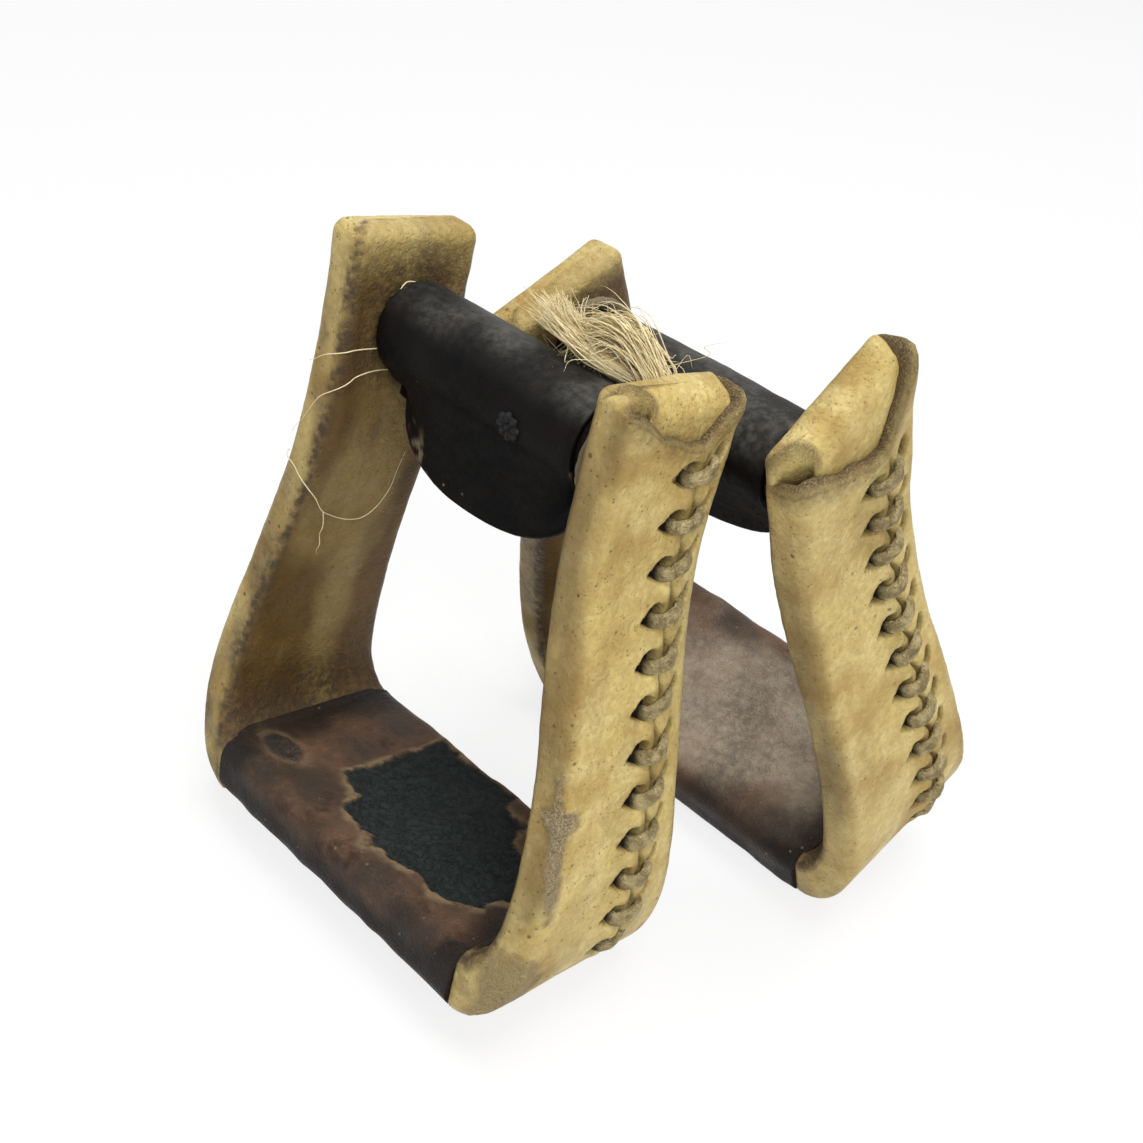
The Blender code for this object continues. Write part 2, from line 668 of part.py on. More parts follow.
def twine_tie(shop, roller_a, roller_b):
    """The twine as one tube along its route."""
    route = twine_route(roller_a, roller_b)
    curve = bpy.data.curves.new("twine_tie", "CURVE")
    curve.dimensions = "3D"
    curve.bevel_depth = TWINE_RADIUS
    curve.bevel_resolution = 2
    curve.render_resolution_u = 0
    curve.use_fill_caps = True
    spline = curve.splines.new("POLY")
    spline.points.add(len(route) - 1)
    for point, spot in zip(spline.points, route):
        point.co = (*spot, 1.0)
    curve.materials.append(new_material("twine_tie", "twine"))
    shop.parts.objects.link(bpy.data.objects.new("twine_tie", curve))


def stand_pair(first, second):
    """Lean both stirrups together on the floor, centred over the origin, and return the rollers' centres."""
    y_a, z_a = first.roller_axis()
    y_b, z_b = second.roller_axis()
    height_a, height_b = z_a - first.lowest(), z_b - second.lowest()
    rise = height_a - height_b
    touch = NECK_HALF_DEPTH + SLEEVE_RADIUS + PAIR_GAP
    spacing = (touch + rise * math.sin(second.lean)) / math.cos(second.lean)
    offset = y_a + spacing - y_b
    front, rear = first.reach()[0], offset + second.reach()[1]
    middle = (front + rear) / 2
    first.empty.location = (-PAIR_SHIFT / 2, -middle, -first.lowest())
    second.empty.location = (PAIR_SHIFT / 2, offset - middle, -second.lowest())
    centre_a = Vector((-PAIR_SHIFT / 2, y_a - middle, height_a))
    return centre_a, Vector((PAIR_SHIFT / 2, y_a + spacing - middle, height_b))


def main():
    """Build both stirrups and the twine between them."""
    clear_scene()
    shop = Workshop()
    first = Stirrup(shop, "a", -LEAN_A)
    second = Stirrup(shop, "b", LEAN_B)
    rollers = stand_pair(first, second)
    first.build()
    second.build()
    twine_tie(shop, *rollers)
    print("least gap between turns of a lace:", round(least_lace_gap(first.seam), 5))
    print("roller centres:", [tuple(round(v, 5) for v in centre) for centre in rollers])


main()
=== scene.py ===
"""Looks for a pair of old rawhide covered western stirrups, tied together at their rollers with twine.

Each stirrup is dressed upright in its own frame: X from leg to leg, Y through its depth, Z up, with the
origin under the middle of the tread. It is then leant to where its solids stand. Lengths are in metres.
"""

import json
import logging
import math
from collections.abc import Callable
from dataclasses import dataclass, field
from enum import Enum
from itertools import product

import bmesh
import bpy
import numpy as np
from mathutils import Matrix, Vector

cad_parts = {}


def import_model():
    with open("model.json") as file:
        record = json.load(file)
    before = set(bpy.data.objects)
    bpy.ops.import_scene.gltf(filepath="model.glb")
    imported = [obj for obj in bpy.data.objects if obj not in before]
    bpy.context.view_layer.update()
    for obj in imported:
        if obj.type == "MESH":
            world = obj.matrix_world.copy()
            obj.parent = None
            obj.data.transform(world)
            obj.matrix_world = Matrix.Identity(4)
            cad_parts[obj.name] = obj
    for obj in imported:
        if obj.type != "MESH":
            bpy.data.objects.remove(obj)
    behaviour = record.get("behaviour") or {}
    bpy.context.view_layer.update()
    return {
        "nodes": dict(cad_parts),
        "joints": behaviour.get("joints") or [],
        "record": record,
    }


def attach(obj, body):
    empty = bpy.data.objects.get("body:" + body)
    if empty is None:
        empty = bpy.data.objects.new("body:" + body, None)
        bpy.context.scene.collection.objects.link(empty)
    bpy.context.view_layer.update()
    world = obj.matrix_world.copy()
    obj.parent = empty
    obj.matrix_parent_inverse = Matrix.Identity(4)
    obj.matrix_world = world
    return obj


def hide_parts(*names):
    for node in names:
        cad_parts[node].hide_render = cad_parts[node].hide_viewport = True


LOG = logging.getLogger("stirrup_pair")
PHOTO_SIDE = 1143
SENSOR_WIDTH = 36.0
SKEW = np.array([0.31, 0.52, 0.79])
FRONT_LEAN = math.radians(-10.0)
REAR_LEAN = math.radians(21.5)
Array = np.ndarray
Material = bpy.types.Material
Piece = bpy.types.Object
Socket = bpy.types.NodeSocket
Tree = bpy.types.NodeTree
Colour = tuple[float, float, float]
Point = tuple[float, float, float]
Faces = list[tuple[int, ...]]
Masks = dict[str, Array]
Strand = tuple[Array, float, float]


# Small tools

def smooth(value: Array, low: float, high: float) -> Array:
    """A smooth step from 0 at low to 1 at high."""
    share = np.clip((value - low) / (high - low), 0.0, 1.0)
    return share * share * (3 - 2 * share)


def bump(value: Array, centre: float, width: float) -> Array:
    """A bell of height 1 about a centre."""
    return np.exp(-(((value - centre) / width) ** 2))


def unit(vectors: Array) -> Array:
    """Vectors scaled to length 1 along the last axis."""
    return vectors / np.maximum(np.linalg.norm(vectors, axis=-1, keepdims=True), 1e-12)


def flowing(points: Array, steps: int) -> Array:
    """A smooth curve through points.

    Args:
        points: the points to pass, one a row.
        steps: how many stretches to cut each span into.

    Returns:
        The curve's points, one a row, ends included.
    """
    padded = np.vstack([2 * points[0] - points[1], points, 2 * points[-1] - points[-2]])
    shares = np.linspace(0, 1, steps, endpoint=False)[:, None]
    spans = []
    for i in range(len(points) - 1):
        a, b, c, d = padded[i:i + 4]
        spans.append(0.5 * (2 * b + (c - a) * shares + (2 * a - 5 * b + 4 * c - d) * shares ** 2
                            + (3 * b - a - 3 * c + d) * shares ** 3))
    return np.vstack(spans + [points[-1:]])


def run_along(points: Array) -> Array:
    """Distance along a path at each of its points."""
    return np.concatenate([[0.0], np.cumsum(np.linalg.norm(np.diff(points, axis=0), axis=1))])


def evened(points: Array, count: int) -> Array:
    """Points at even steps along a path, without its last one."""
    run = run_along(points)
    even = np.linspace(0, run[-1], count, endpoint=False)
    return np.column_stack([np.interp(even, run, column) for column in points.T])


def mirror(side: int) -> Array:
    """Factors that carry the right leg's points to a side, 1 for right and -1 for left."""
    return np.array([side, 1, 1])


class Lumps:
    """Smooth repeatable noise from a seeded table, for dents and ragged edges."""

    def __init__(self, seed: int, cells: int = 32) -> None:
        """Fill the table of random values."""
        self.cells = cells
        self.table = np.random.default_rng(seed).random((cells, cells, cells))

    def at(self, points: Array, size: float) -> Array:
        """Values from 0 to 1 at points.

        Args:
            points: positions with X, Y and Z on the last axis.
            size: width of one lump.

        Returns:
            One value for each point.
        """
        place = points / size
        base = np.floor(place).astype(int)
        part = place - base
        part = part * part * (3 - 2 * part)
        total = np.zeros(points.shape[:-1])
        for corner in product((0, 1), repeat=3):
            weight = np.ones(points.shape[:-1])
            index = []
            for axis, step in enumerate(corner):
                weight = weight * (part[..., axis] if step else 1 - part[..., axis])
                index.append((base[..., axis] + step) % self.cells)
            total += weight * self.table[tuple(index)]
        return total

    def layered(self, points: Array, size: float, layers: int = 3) -> Array:
        """Coarse and finer lumps together, about 0.5 on average."""
        total = sum(self.at(points + 0.37 * k * size, size / 2 ** k) / 2 ** k for k in range(layers))
        return total / sum(0.5 ** k for k in range(layers))


# Meshes

def grid_faces(rows: int, columns: int, start: int = 0) -> Faces:
    """Quads over rings of points, ring by ring.

    Args:
        rows: how many rings.
        columns: points in each ring.
        start: index of the first point.

    Returns:
        The quads.
    """
    faces = []
    for low in range(start, start + (rows - 1) * columns, columns):
        for here in range(columns):
            after = (here + 1) % columns
            faces.append((low + here, low + after, low + columns + after, low + columns + here))
    return faces


def tube_faces(rows: int, columns: int, start: int = 0) -> Faces:
    """Faces of a tube of rings with both ends closed."""
    last = start + (rows - 1) * columns
    ends = [tuple(range(first, first + columns)) for first in (start, last)]
    return grid_faces(rows, columns, start) + ends


def joined_tubes(tubes: list[Array]) -> tuple[Array, Faces]:
    """Points and faces of several closed tubes as one mesh.

    Args:
        tubes: the rings of each tube, shaped (rows, columns, 3).

    Returns:
        Points, one a row, and faces.
    """
    faces, start = [], 0
    for rings in tubes:
        faces += tube_faces(*rings.shape[:2], start)
        start += rings.shape[0] * rings.shape[1]
    return np.concatenate([rings.reshape(-1, 3) for rings in tubes]), faces


def make_piece(name: str, points: Array, faces: Faces, masks: Masks,
               material: Material) -> Piece:
    """Make an object whose faces point out, with one point attribute for each mask.

    Args:
        name: the piece's name.
        points: positions in the shared frame.
        faces: point indices of each face.
        masks: one value for each point: a share from 0 to 1, or a length for run and cross.
        material: the piece's finish.

    Returns:
        The new object, linked to the scene.
    """
    mesh = bpy.data.meshes.new(name)
    mesh.from_pydata(points.reshape(-1, 3).tolist(), [], faces)
    for key, values in masks.items():
        attribute = mesh.attributes.new(key, "FLOAT", "POINT")
        attribute.data.foreach_set("value", np.asarray(values, np.float32).ravel())
    work = bmesh.new()
    work.from_mesh(mesh)
    bmesh.ops.recalc_face_normals(work, faces=work.faces)
    work.to_mesh(mesh)
    work.free()
    mesh.materials.append(material)
    mesh.shade_smooth()
    piece = bpy.data.objects.new(name, mesh)
    bpy.context.scene.collection.objects.link(piece)
    return piece


def deepen(masks: Masks, key: str, values: Array) -> None:
    """Raise a mask wherever new values are higher."""
    masks[key] = np.maximum(masks[key], values)


def settle(piece: Piece, body: str, slot: str, *nodes: str) -> Piece:
    """Let a piece ride on a body and stand for solids, and report it."""
    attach(piece, body)
    if nodes:
        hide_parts(*nodes)
    LOG.info("%s rides on %s with %d points", piece.name, body, len(piece.data.vertices))
    return piece


def sweep(path: Array, radii: Array, sides: int) -> Array:
    """Rings of a round tube along a path.

    Args:
        path: centre points, one a row.
        radii: the radius at each point.
        sides: points in each ring.

    Returns:
        Ring points shaped (rows, sides, 3).
    """
    tangent = unit(np.gradient(path, axis=0))
    across = unit(np.cross(tangent, SKEW))
    other = np.cross(tangent, across)
    turn = np.linspace(0, 2 * math.pi, sides, endpoint=False)
    ring = across[:, None] * np.cos(turn)[None, :, None] + other[:, None] * np.sin(turn)[None, :, None]
    return path[:, None] + ring * np.asarray(radii)[:, None, None]


# Shader nodes

class Graph:
    """A short way to add and join nodes in one shader tree."""

    def __init__(self, tree: Tree) -> None:
        """Work in a tree."""
        self.tree = tree

    def put(self, socket: Socket, value: object) -> None:
        """Join a socket to another one, or give it a plain value."""
        if isinstance(value, Socket):
            self.tree.links.new(value, socket)
        elif isinstance(value, tuple) and len(value) == 3 and socket.type == "RGBA":
            socket.default_value = (*value, 1.0)
        else:
            socket.default_value = value

    def node(self, kind: str, inputs: dict[str | int, object] | None = None,
             **settings: object) -> bpy.types.Node:
        """Add a node.

        Args:
            kind: the node's type name without its ShaderNode start.
            inputs: values or sockets for its inputs.
            settings: properties of the node.

        Returns:
            The node.
        """
        node = self.tree.nodes.new(kind if kind.startswith("NodeGroup") else "ShaderNode" + kind)
        for key, value in settings.items():
            setattr(node, key, value)
        for key, value in (inputs or {}).items():
            self.put(node.inputs[key], value)
        return node

    def mask(self, name: str) -> Socket:
        """A point attribute's value."""
        return self.node("Attribute", attribute_name=name).outputs["Fac"]

    def math(self, operation: str, first: object, second: object, clamp: bool = False) -> Socket:
        """One sum of two values or sockets."""
        return self.node("Math", {0: first, 1: second}, operation=operation, use_clamp=clamp).outputs[0]

    def plus(self, first: object, second: object, clamp: bool = False) -> Socket:
        """Two values added."""
        return self.math("ADD", first, second, clamp)

    def minus(self, first: object, second: object) -> Socket:
        """One value less another."""
        return self.math("SUBTRACT", first, second)

    def most(self, first: object, second: object) -> Socket:
        """The larger of two values."""
        return self.math("MAXIMUM", first, second)

    def times(self, *values: object) -> Socket:
        """The product of values and sockets."""
        total = values[0]
        for value in values[1:]:
            total = self.math("MULTIPLY", total, value)
        return total

    def mix(self, share: object, first: object, second: object) -> Socket:
        """A colour between two, by a share."""
        node = self.node("Mix", data_type="RGBA")
        self.put(node.inputs[0], share)
        self.put(node.inputs[6], first)
        self.put(node.inputs[7], second)
        return node.outputs[2]

    def span(self, value: object, low: object, high: object, first: float = 0.0,
             second: float = 1.0) -> Socket:
        """A value carried from one span to another and kept inside it."""
        return self.node("MapRange", {"Value": value, "From Min": low, "From Max": high, "To Min": first,
                                      "To Max": second}, interpolation_type="SMOOTHSTEP").outputs["Result"]

    def place(self) -> Socket:
        """Positions on the piece itself."""
        return self.node("TexCoord").outputs["Object"]

    def group(self, tree: Tree, **values: object) -> Socket:
        """Place a shared effect with its own values and give its result."""
        node = self.node("Group", node_tree=tree)
        for key, value in values.items():
            self.put(node.inputs[key], value)
        return node.outputs[0]


class Effects:
    """Shader effects that several finishes share, each a node group built once."""

    def __init__(self) -> None:
        """Build the groups."""
        self.mottle = self.build("mottle", "Mask", {"Scale": 20.0, "Low": 0.4, "High": 0.6}, self.draw_mottle)
        self.specks = self.build("specks", "Mask", {"Scale": 300.0, "Share": 0.3, "Size": 0.3},
                                 self.draw_specks)
        self.cracks = self.build("cracks", "Mask", {"Scale": 90.0, "Width": 0.06}, self.draw_cracks)
        self.grain = self.build("grain", "Height", {"Scale": 900.0, "Pores": 0.5}, self.draw_grain)
        self.fibres = self.build("fibres", "Mask", {"Length": 120.0, "Width": 1500.0}, self.draw_fibres)

    @staticmethod
    def build(name: str, result: str, values: dict[str, float], draw: Callable) -> Tree:
        """Make one group.

        Args:
            name: the effect's name.
            result: the name of its output.
            values: its inputs and their usual values.
            draw: adds the nodes and gives the socket of the result.

        Returns:
            The group's tree.
        """
        tree = bpy.data.node_groups.new(name, "ShaderNodeTree")
        for label, value in values.items():
            socket = tree.interface.new_socket(label, in_out="INPUT", socket_type="NodeSocketFloat")
            socket.default_value = value
        tree.interface.new_socket(result, in_out="OUTPUT", socket_type="NodeSocketFloat")
        graph = Graph(tree)
        start = graph.node("NodeGroupInput")
        end = graph.node("NodeGroupOutput")
        graph.put(end.inputs[result], draw(graph, start.outputs))
        return tree

    @staticmethod
    def draw_mottle(graph: Graph, values: bpy.types.NodeOutputs) -> Socket:
        """Soft cloudy patches."""
        noise = graph.node("TexNoise", {"Vector": graph.place(), "Scale": values["Scale"], "Detail": 6.0,
                                        "Roughness": 0.6})
        return graph.span(noise.outputs["Fac"], values["Low"], values["High"])

    @staticmethod
    def draw_specks(graph: Graph, values: bpy.types.NodeOutputs) -> Socket:
        """Scattered dots of uneven size."""
        spots = graph.node("TexVoronoi", {"Vector": graph.place(), "Scale": values["Scale"]})
        draw = graph.node("SeparateColor", {0: spots.outputs["Color"]})
        chosen = graph.math("LESS_THAN", draw.outputs[0], values["Share"])
        size = graph.times(values["Size"], graph.plus(draw.outputs[1], 0.35))
        dot = graph.span(spots.outputs["Distance"], graph.times(size, 0.45), size, 1.0, 0.0)
        return graph.times(chosen, dot)

    @staticmethod
    def draw_cracks(graph: Graph, values: bpy.types.NodeOutputs) -> Socket:
        """A net of fine cracks that wander."""
        place = graph.place()
        wander = graph.node("TexNoise", {"Vector": place, "Scale": graph.times(values["Scale"], 1.7),
                                         "Detail": 3.0})
        moved = graph.node("VectorMath", {0: wander.outputs["Color"], 1: (0.006, 0.006, 0.006)},
                           operation="MULTIPLY")
        where = graph.node("VectorMath", {0: place, 1: moved.outputs[0]}, operation="ADD")
        net = graph.node("TexVoronoi", {"Vector": where.outputs[0], "Scale": values["Scale"]},
                         feature="DISTANCE_TO_EDGE")
        return graph.span(net.outputs["Distance"], 0.0, values["Width"], 1.0, 0.0)

    @staticmethod
    def draw_grain(graph: Graph, values: bpy.types.NodeOutputs) -> Socket:
        """Fine hide grain: soft lumps and small pores."""
        place = graph.place()
        soft = graph.node("TexNoise", {"Vector": place, "Scale": values["Scale"], "Detail": 4.0})
        pores = graph.node("TexVoronoi", {"Vector": place, "Scale": graph.times(values["Scale"], 1.6)})
        hole = graph.times(graph.span(pores.outputs["Distance"], 0.0, 0.5, 1.0, 0.0), values["Pores"])
        return graph.minus(soft.outputs["Fac"], hole)

    @staticmethod
    def draw_fibres(graph: Graph, values: bpy.types.NodeOutputs) -> Socket:
        """Streaks along a strand, from how far along and across it a point lies."""
        run = graph.times(graph.mask("run"), values["Length"])
        cross = graph.times(graph.mask("cross"), values["Width"])
        where = graph.node("CombineXYZ", {"X": run, "Y": cross})
        noise = graph.node("TexNoise", {"Vector": where.outputs[0], "Scale": 1.0, "Detail": 3.0})
        return graph.span(noise.outputs["Fac"], 0.36, 0.64)


class Paint(Graph):
    """The nodes of one finish: the shared effects by short names, and a colour built up in coats."""

    def __init__(self, tree: Tree, effects: Effects) -> None:
        """Work in a material's tree."""
        super().__init__(tree)
        self.effects = effects
        self.colour: object = None

    def mottle(self, scale: float, low: float, high: float) -> Socket:
        """Soft cloudy patches."""
        return self.group(self.effects.mottle, Scale=scale, Low=low, High=high)

    def specks(self, scale: float, share: float, size: float) -> Socket:
        """Scattered dots."""
        return self.group(self.effects.specks, Scale=scale, Share=share, Size=size)

    def cracks(self, scale: float, width: float) -> Socket:
        """A net of fine cracks."""
        return self.group(self.effects.cracks, Scale=scale, Width=width)

    def grain(self, scale: float, pores: float) -> Socket:
        """Height of fine hide grain."""
        return self.group(self.effects.grain, Scale=scale, Pores=pores)

    def fibres(self, length: float, width: float) -> Socket:
        """Streaks along a strand."""
        return self.group(self.effects.fibres, Length=length, Width=width)

    def coat(self, colour: object, *shares: object) -> None:
        """Lay a colour over the coats so far, by the product of some shares."""
        self.colour = self.mix(self.times(*shares), self.colour, colour)


@dataclass(frozen=True)
class Finish:
    """A surface finish; each kind paints its own nodes."""

    name: str
    roughness: float = 0.6
    bump_depth: float = 0.0006
    bump_strength: float = 0.6
    specular: float = 0.4
    metallic: float = 0.0

    def build(self, effects: Effects) -> Material:
        """Make the material."""
        material = bpy.data.materials.new(self.name)
        material.use_nodes = True
        paint = Paint(material.node_tree, effects)
        shader = material.node_tree.nodes["Principled BSDF"]
        shader.inputs["Roughness"].default_value = self.roughness
        shader.inputs["Specular IOR Level"].default_value = self.specular
        shader.inputs["Metallic"].default_value = self.metallic
        rough, height = self.paint(paint)
        paint.put(shader.inputs["Base Color"], paint.colour)
        if rough is not None:
            paint.put(shader.inputs["Roughness"], rough)
        normal = paint.node("Bump", {"Strength": self.bump_strength, "Distance": self.bump_depth,
                                     "Height": height})
        paint.put(shader.inputs["Normal"], normal.outputs[0])
        return material

    def paint(self, paint: Paint) -> tuple[object, object]:
        """Lay the coats of colour, and give the roughness, if it varies, and the height."""
        raise NotImplementedError


@dataclass(frozen=True)
class RawhideFinish(Finish):
    """Hard pale rawhide with amber stains, specks, grime, scuffs and painted shade."""

    cream: Colour = (0.63, 0.49, 0.180)
    tan: Colour = (0.41, 0.275, 0.084)
    pale: Colour = (0.74, 0.61, 0.270)
    amber: Colour = (0.150, 0.084, 0.021)
    umber: Colour = (0.066, 0.035, 0.010)
    speck: Colour = (0.12, 0.062, 0.022)
    grime: Colour = (0.062, 0.040, 0.020)
    # Painted shade in the lace slots, the fold's hollow and under the collar's lip; also a dark line along
    # the seam's gap
    pit: Colour = (0.012, 0.008, 0.005)
    cut: Colour = (0.300, 0.215, 0.105)
    cut_dark: Colour = (0.105, 0.069, 0.032)
    scuff: Colour = (0.40, 0.315, 0.180)

    def paint(self, paint: Paint) -> tuple[object, object]:
        """Clouded cream hide darkened where handled, rubbed and laced, with painted shade by the neck
        leather.
        """
        clouds = paint.mottle(36.0, 0.40, 0.66)
        mealy = paint.mottle(560.0, 0.38, 0.66)
        paint.colour = self.cream
        paint.coat(self.tan, clouds)
        paint.coat(self.pale, paint.mottle(80.0, 0.44, 0.66), 0.6)
        paint.coat(self.tan, mealy, 0.42)
        paint.coat(self.tan, paint.mottle(170.0, 0.56, 0.68), paint.mask("speck"), 0.45)
        streaked = paint.times(paint.mottle(46.0, 0.34, 0.72), 0.8)
        paint.coat(paint.mix(streaked, self.amber, self.umber), paint.mask("amber"))
        large, small = paint.specks(430.0, 0.07, 0.30), paint.specks(1000.0, 0.22, 0.34)
        dots = paint.most(paint.times(large, 0.9), paint.times(small, 0.8))
        paint.coat(self.speck, dots, paint.mask("speck"))
        patchy = paint.times(paint.mottle(430.0, 0.30, 0.62), 0.75)
        # Grime, and painted shade next to the neck leather and in the crease under the collar
        paint.coat(self.grime, paint.mask("grime"), paint.plus(patchy, 0.25))
        paint.coat(self.scuff, paint.mask("scuff"), paint.mottle(900.0, 0.20, 0.42))
        crack = paint.times(paint.cracks(700.0, 0.09), paint.mask("scuff"))
        paint.coat(self.grime, crack, 0.85)
        fuzz = paint.mottle(2100.0, 0.38, 0.66)
        paint.coat(paint.mix(fuzz, self.cut, self.cut_dark), paint.mask("cut"))
        # Painted shade in the slots and hollows
        paint.coat(self.pit, paint.mask("pit"))
        rough = paint.plus(paint.span(clouds, 0.0, 1.0, 0.40, 0.58), paint.times(paint.mask("scuff"), 0.3))
        rough = paint.plus(rough, paint.times(paint.mask("cut"), 0.3), clamp=True)
        height = paint.plus(paint.times(paint.grain(620.0, 0.45), 0.6), paint.times(mealy, 0.40))
        height = paint.minus(height, paint.times(crack, 1.2))
        height = paint.minus(height, paint.times(dots, 0.25))
        return rough, paint.plus(height, paint.times(paint.mask("cut"), fuzz, 1.6))


@dataclass(frozen=True)
class LaceFinish(Finish):
    """Rough grey brown rawhide lace."""

    light: Colour = (0.60, 0.49, 0.250)
    dark: Colour = (0.250, 0.190, 0.085)
    grime: Colour = (0.020, 0.014, 0.008)

    def paint(self, paint: Paint) -> tuple[object, object]:
        """Streaks along the strap, with painted shade where it dips into its slots."""
        fuzz = paint.mottle(1500.0, 0.40, 0.62)
        paint.colour = self.light
        paint.coat(self.dark, paint.mottle(330.0, 0.35, 0.65))
        paint.coat(self.dark, paint.fibres(420.0, 900.0), 0.3)
        paint.coat(self.light, fuzz, paint.mask("fuzz"), 0.7)
        paint.coat(self.grime, paint.mask("grime"))
        return None, paint.plus(paint.times(fuzz, 0.8), paint.grain(1100.0, 0.4))


@dataclass(frozen=True)
class TreadFinish(Finish):
    """Worn brown tread leather with dark edges, a rubbed middle and a cracked black patch."""

    brown: Colour = (0.058, 0.040, 0.027)
    red: Colour = (0.200, 0.108, 0.063)
    dark: Colour = (0.008, 0.006, 0.005)
    rubbed_and_sheen: Colour = (0.45, 0.385, 0.285)
    patch: Colour = (0.028, 0.035, 0.034)
    border: Colour = (0.27, 0.19, 0.105)

    def paint(self, paint: Paint) -> tuple[object, object]:
        """Clouded brown leather under its wear."""
        clouds = paint.mottle(48.0, 0.35, 0.68)
        fine = paint.mottle(330.0, 0.30, 0.70)
        paint.colour = self.brown
        paint.coat(self.red, clouds)
        paint.coat(self.brown, fine, 0.40)
        paint.coat(self.dark, paint.mottle(95.0, 0.52, 0.70), 0.7)
        worn = paint.plus(paint.times(fine, 0.30), paint.times(clouds, 0.30))
        paint.coat(self.rubbed_and_sheen, paint.mask("rubbed_and_sheen"), paint.plus(worn, 0.22))
        paint.coat(self.dark, paint.mask("edge"))
        paint.coat(self.border, paint.mask("border"), paint.mottle(150.0, 0.34, 0.56))
        paint.coat(self.border, paint.specks(420.0, 0.10, 0.22), 0.55)
        patch = paint.mask("patch")
        paint.coat(self.patch, patch)
        cracked = paint.times(paint.cracks(330.0, 0.10), paint.plus(paint.times(patch, 0.9), 0.15))
        paint.coat(self.dark, cracked, 0.45)
        rough = paint.plus(paint.span(clouds, 0.0, 1.0, 0.46, 0.62), paint.times(patch, 0.3), clamp=True)
        crust = paint.times(patch, paint.grain(300.0, 0.7), 3.2)
        height = paint.plus(paint.grain(760.0, 0.5), crust)
        return rough, paint.minus(height, paint.times(cracked, 1.6))


@dataclass(frozen=True)
class NeckFinish(Finish):
    """Black oiled leather with a painted grey sheen on the sleeve's top."""

    black: Colour = (0.0036, 0.0034, 0.0034)
    brown: Colour = (0.0080, 0.0060, 0.0052)
    grey: Colour = (0.098, 0.093, 0.084)
    tan: Colour = (0.22, 0.165, 0.10)

    def paint(self, paint: Paint) -> tuple[object, object]:
        """Black leather with brown clouds, a painted grey sheen on the sleeve's top and a few pale specks."""
        clouds = paint.mottle(55.0, 0.38, 0.70)
        fine = paint.mottle(420.0, 0.32, 0.72)
        rubbed_and_sheen = paint.mask("rubbed_and_sheen")
        paint.colour = self.black
        paint.coat(self.brown, clouds)
        # Painted highlight: grey sheen on the sleeve's top
        paint.coat(self.grey, rubbed_and_sheen, paint.plus(paint.times(fine, 0.6), 0.3))
        dots = paint.times(paint.specks(280.0, 0.05, 0.16), 0.7)
        paint.coat(self.tan, paint.most(dots, paint.mask("nick")))
        rough = paint.minus(paint.span(fine, 0.0, 1.0, 0.44, 0.60), paint.times(rubbed_and_sheen, 0.06))
        return rough, paint.plus(paint.grain(980.0, 0.6), paint.times(clouds, 0.4))


@dataclass(frozen=True)
class SisalFinish(Finish):
    """Straw coloured sisal."""

    light: Colour = (0.92, 0.82, 0.53)
    dark: Colour = (0.60, 0.455, 0.22)
    grime: Colour = (0.060, 0.042, 0.026)

    def paint(self, paint: Paint) -> tuple[object, object]:
        """Each strand's own shade with streaks along it, and grime with painted shade where it is wound."""
        streaks = paint.fibres(160.0, 900.0)
        paint.colour = self.dark
        paint.coat(self.light, paint.mask("shade"))
        paint.coat(self.dark, streaks, 0.4)
        paint.coat(self.grime, paint.mask("grime"))
        return None, streaks


@dataclass(frozen=True)
class PlainFinish(Finish):
    """Wood or metal with soft clouds, grain and specks of its darker shade."""

    light: Colour = (0.40, 0.27, 0.14)
    dark: Colour = (0.18, 0.105, 0.05)
    cloud_scale: float = 40.0
    grain_scale: float = 500.0

    def paint(self, paint: Paint) -> tuple[object, object]:
        """Two shades in clouds, with fine specks."""
        clouds = paint.mottle(self.cloud_scale, 0.35, 0.68)
        paint.colour = self.light
        paint.coat(self.dark, clouds)
        paint.coat(self.dark, paint.specks(self.grain_scale, 0.3, 0.3), 0.5)
        rough = paint.span(clouds, 0.0, 1.0, self.roughness - 0.06, self.roughness + 0.08)
        return rough, paint.grain(self.grain_scale, 0.4)


# The shape that both stirrups share

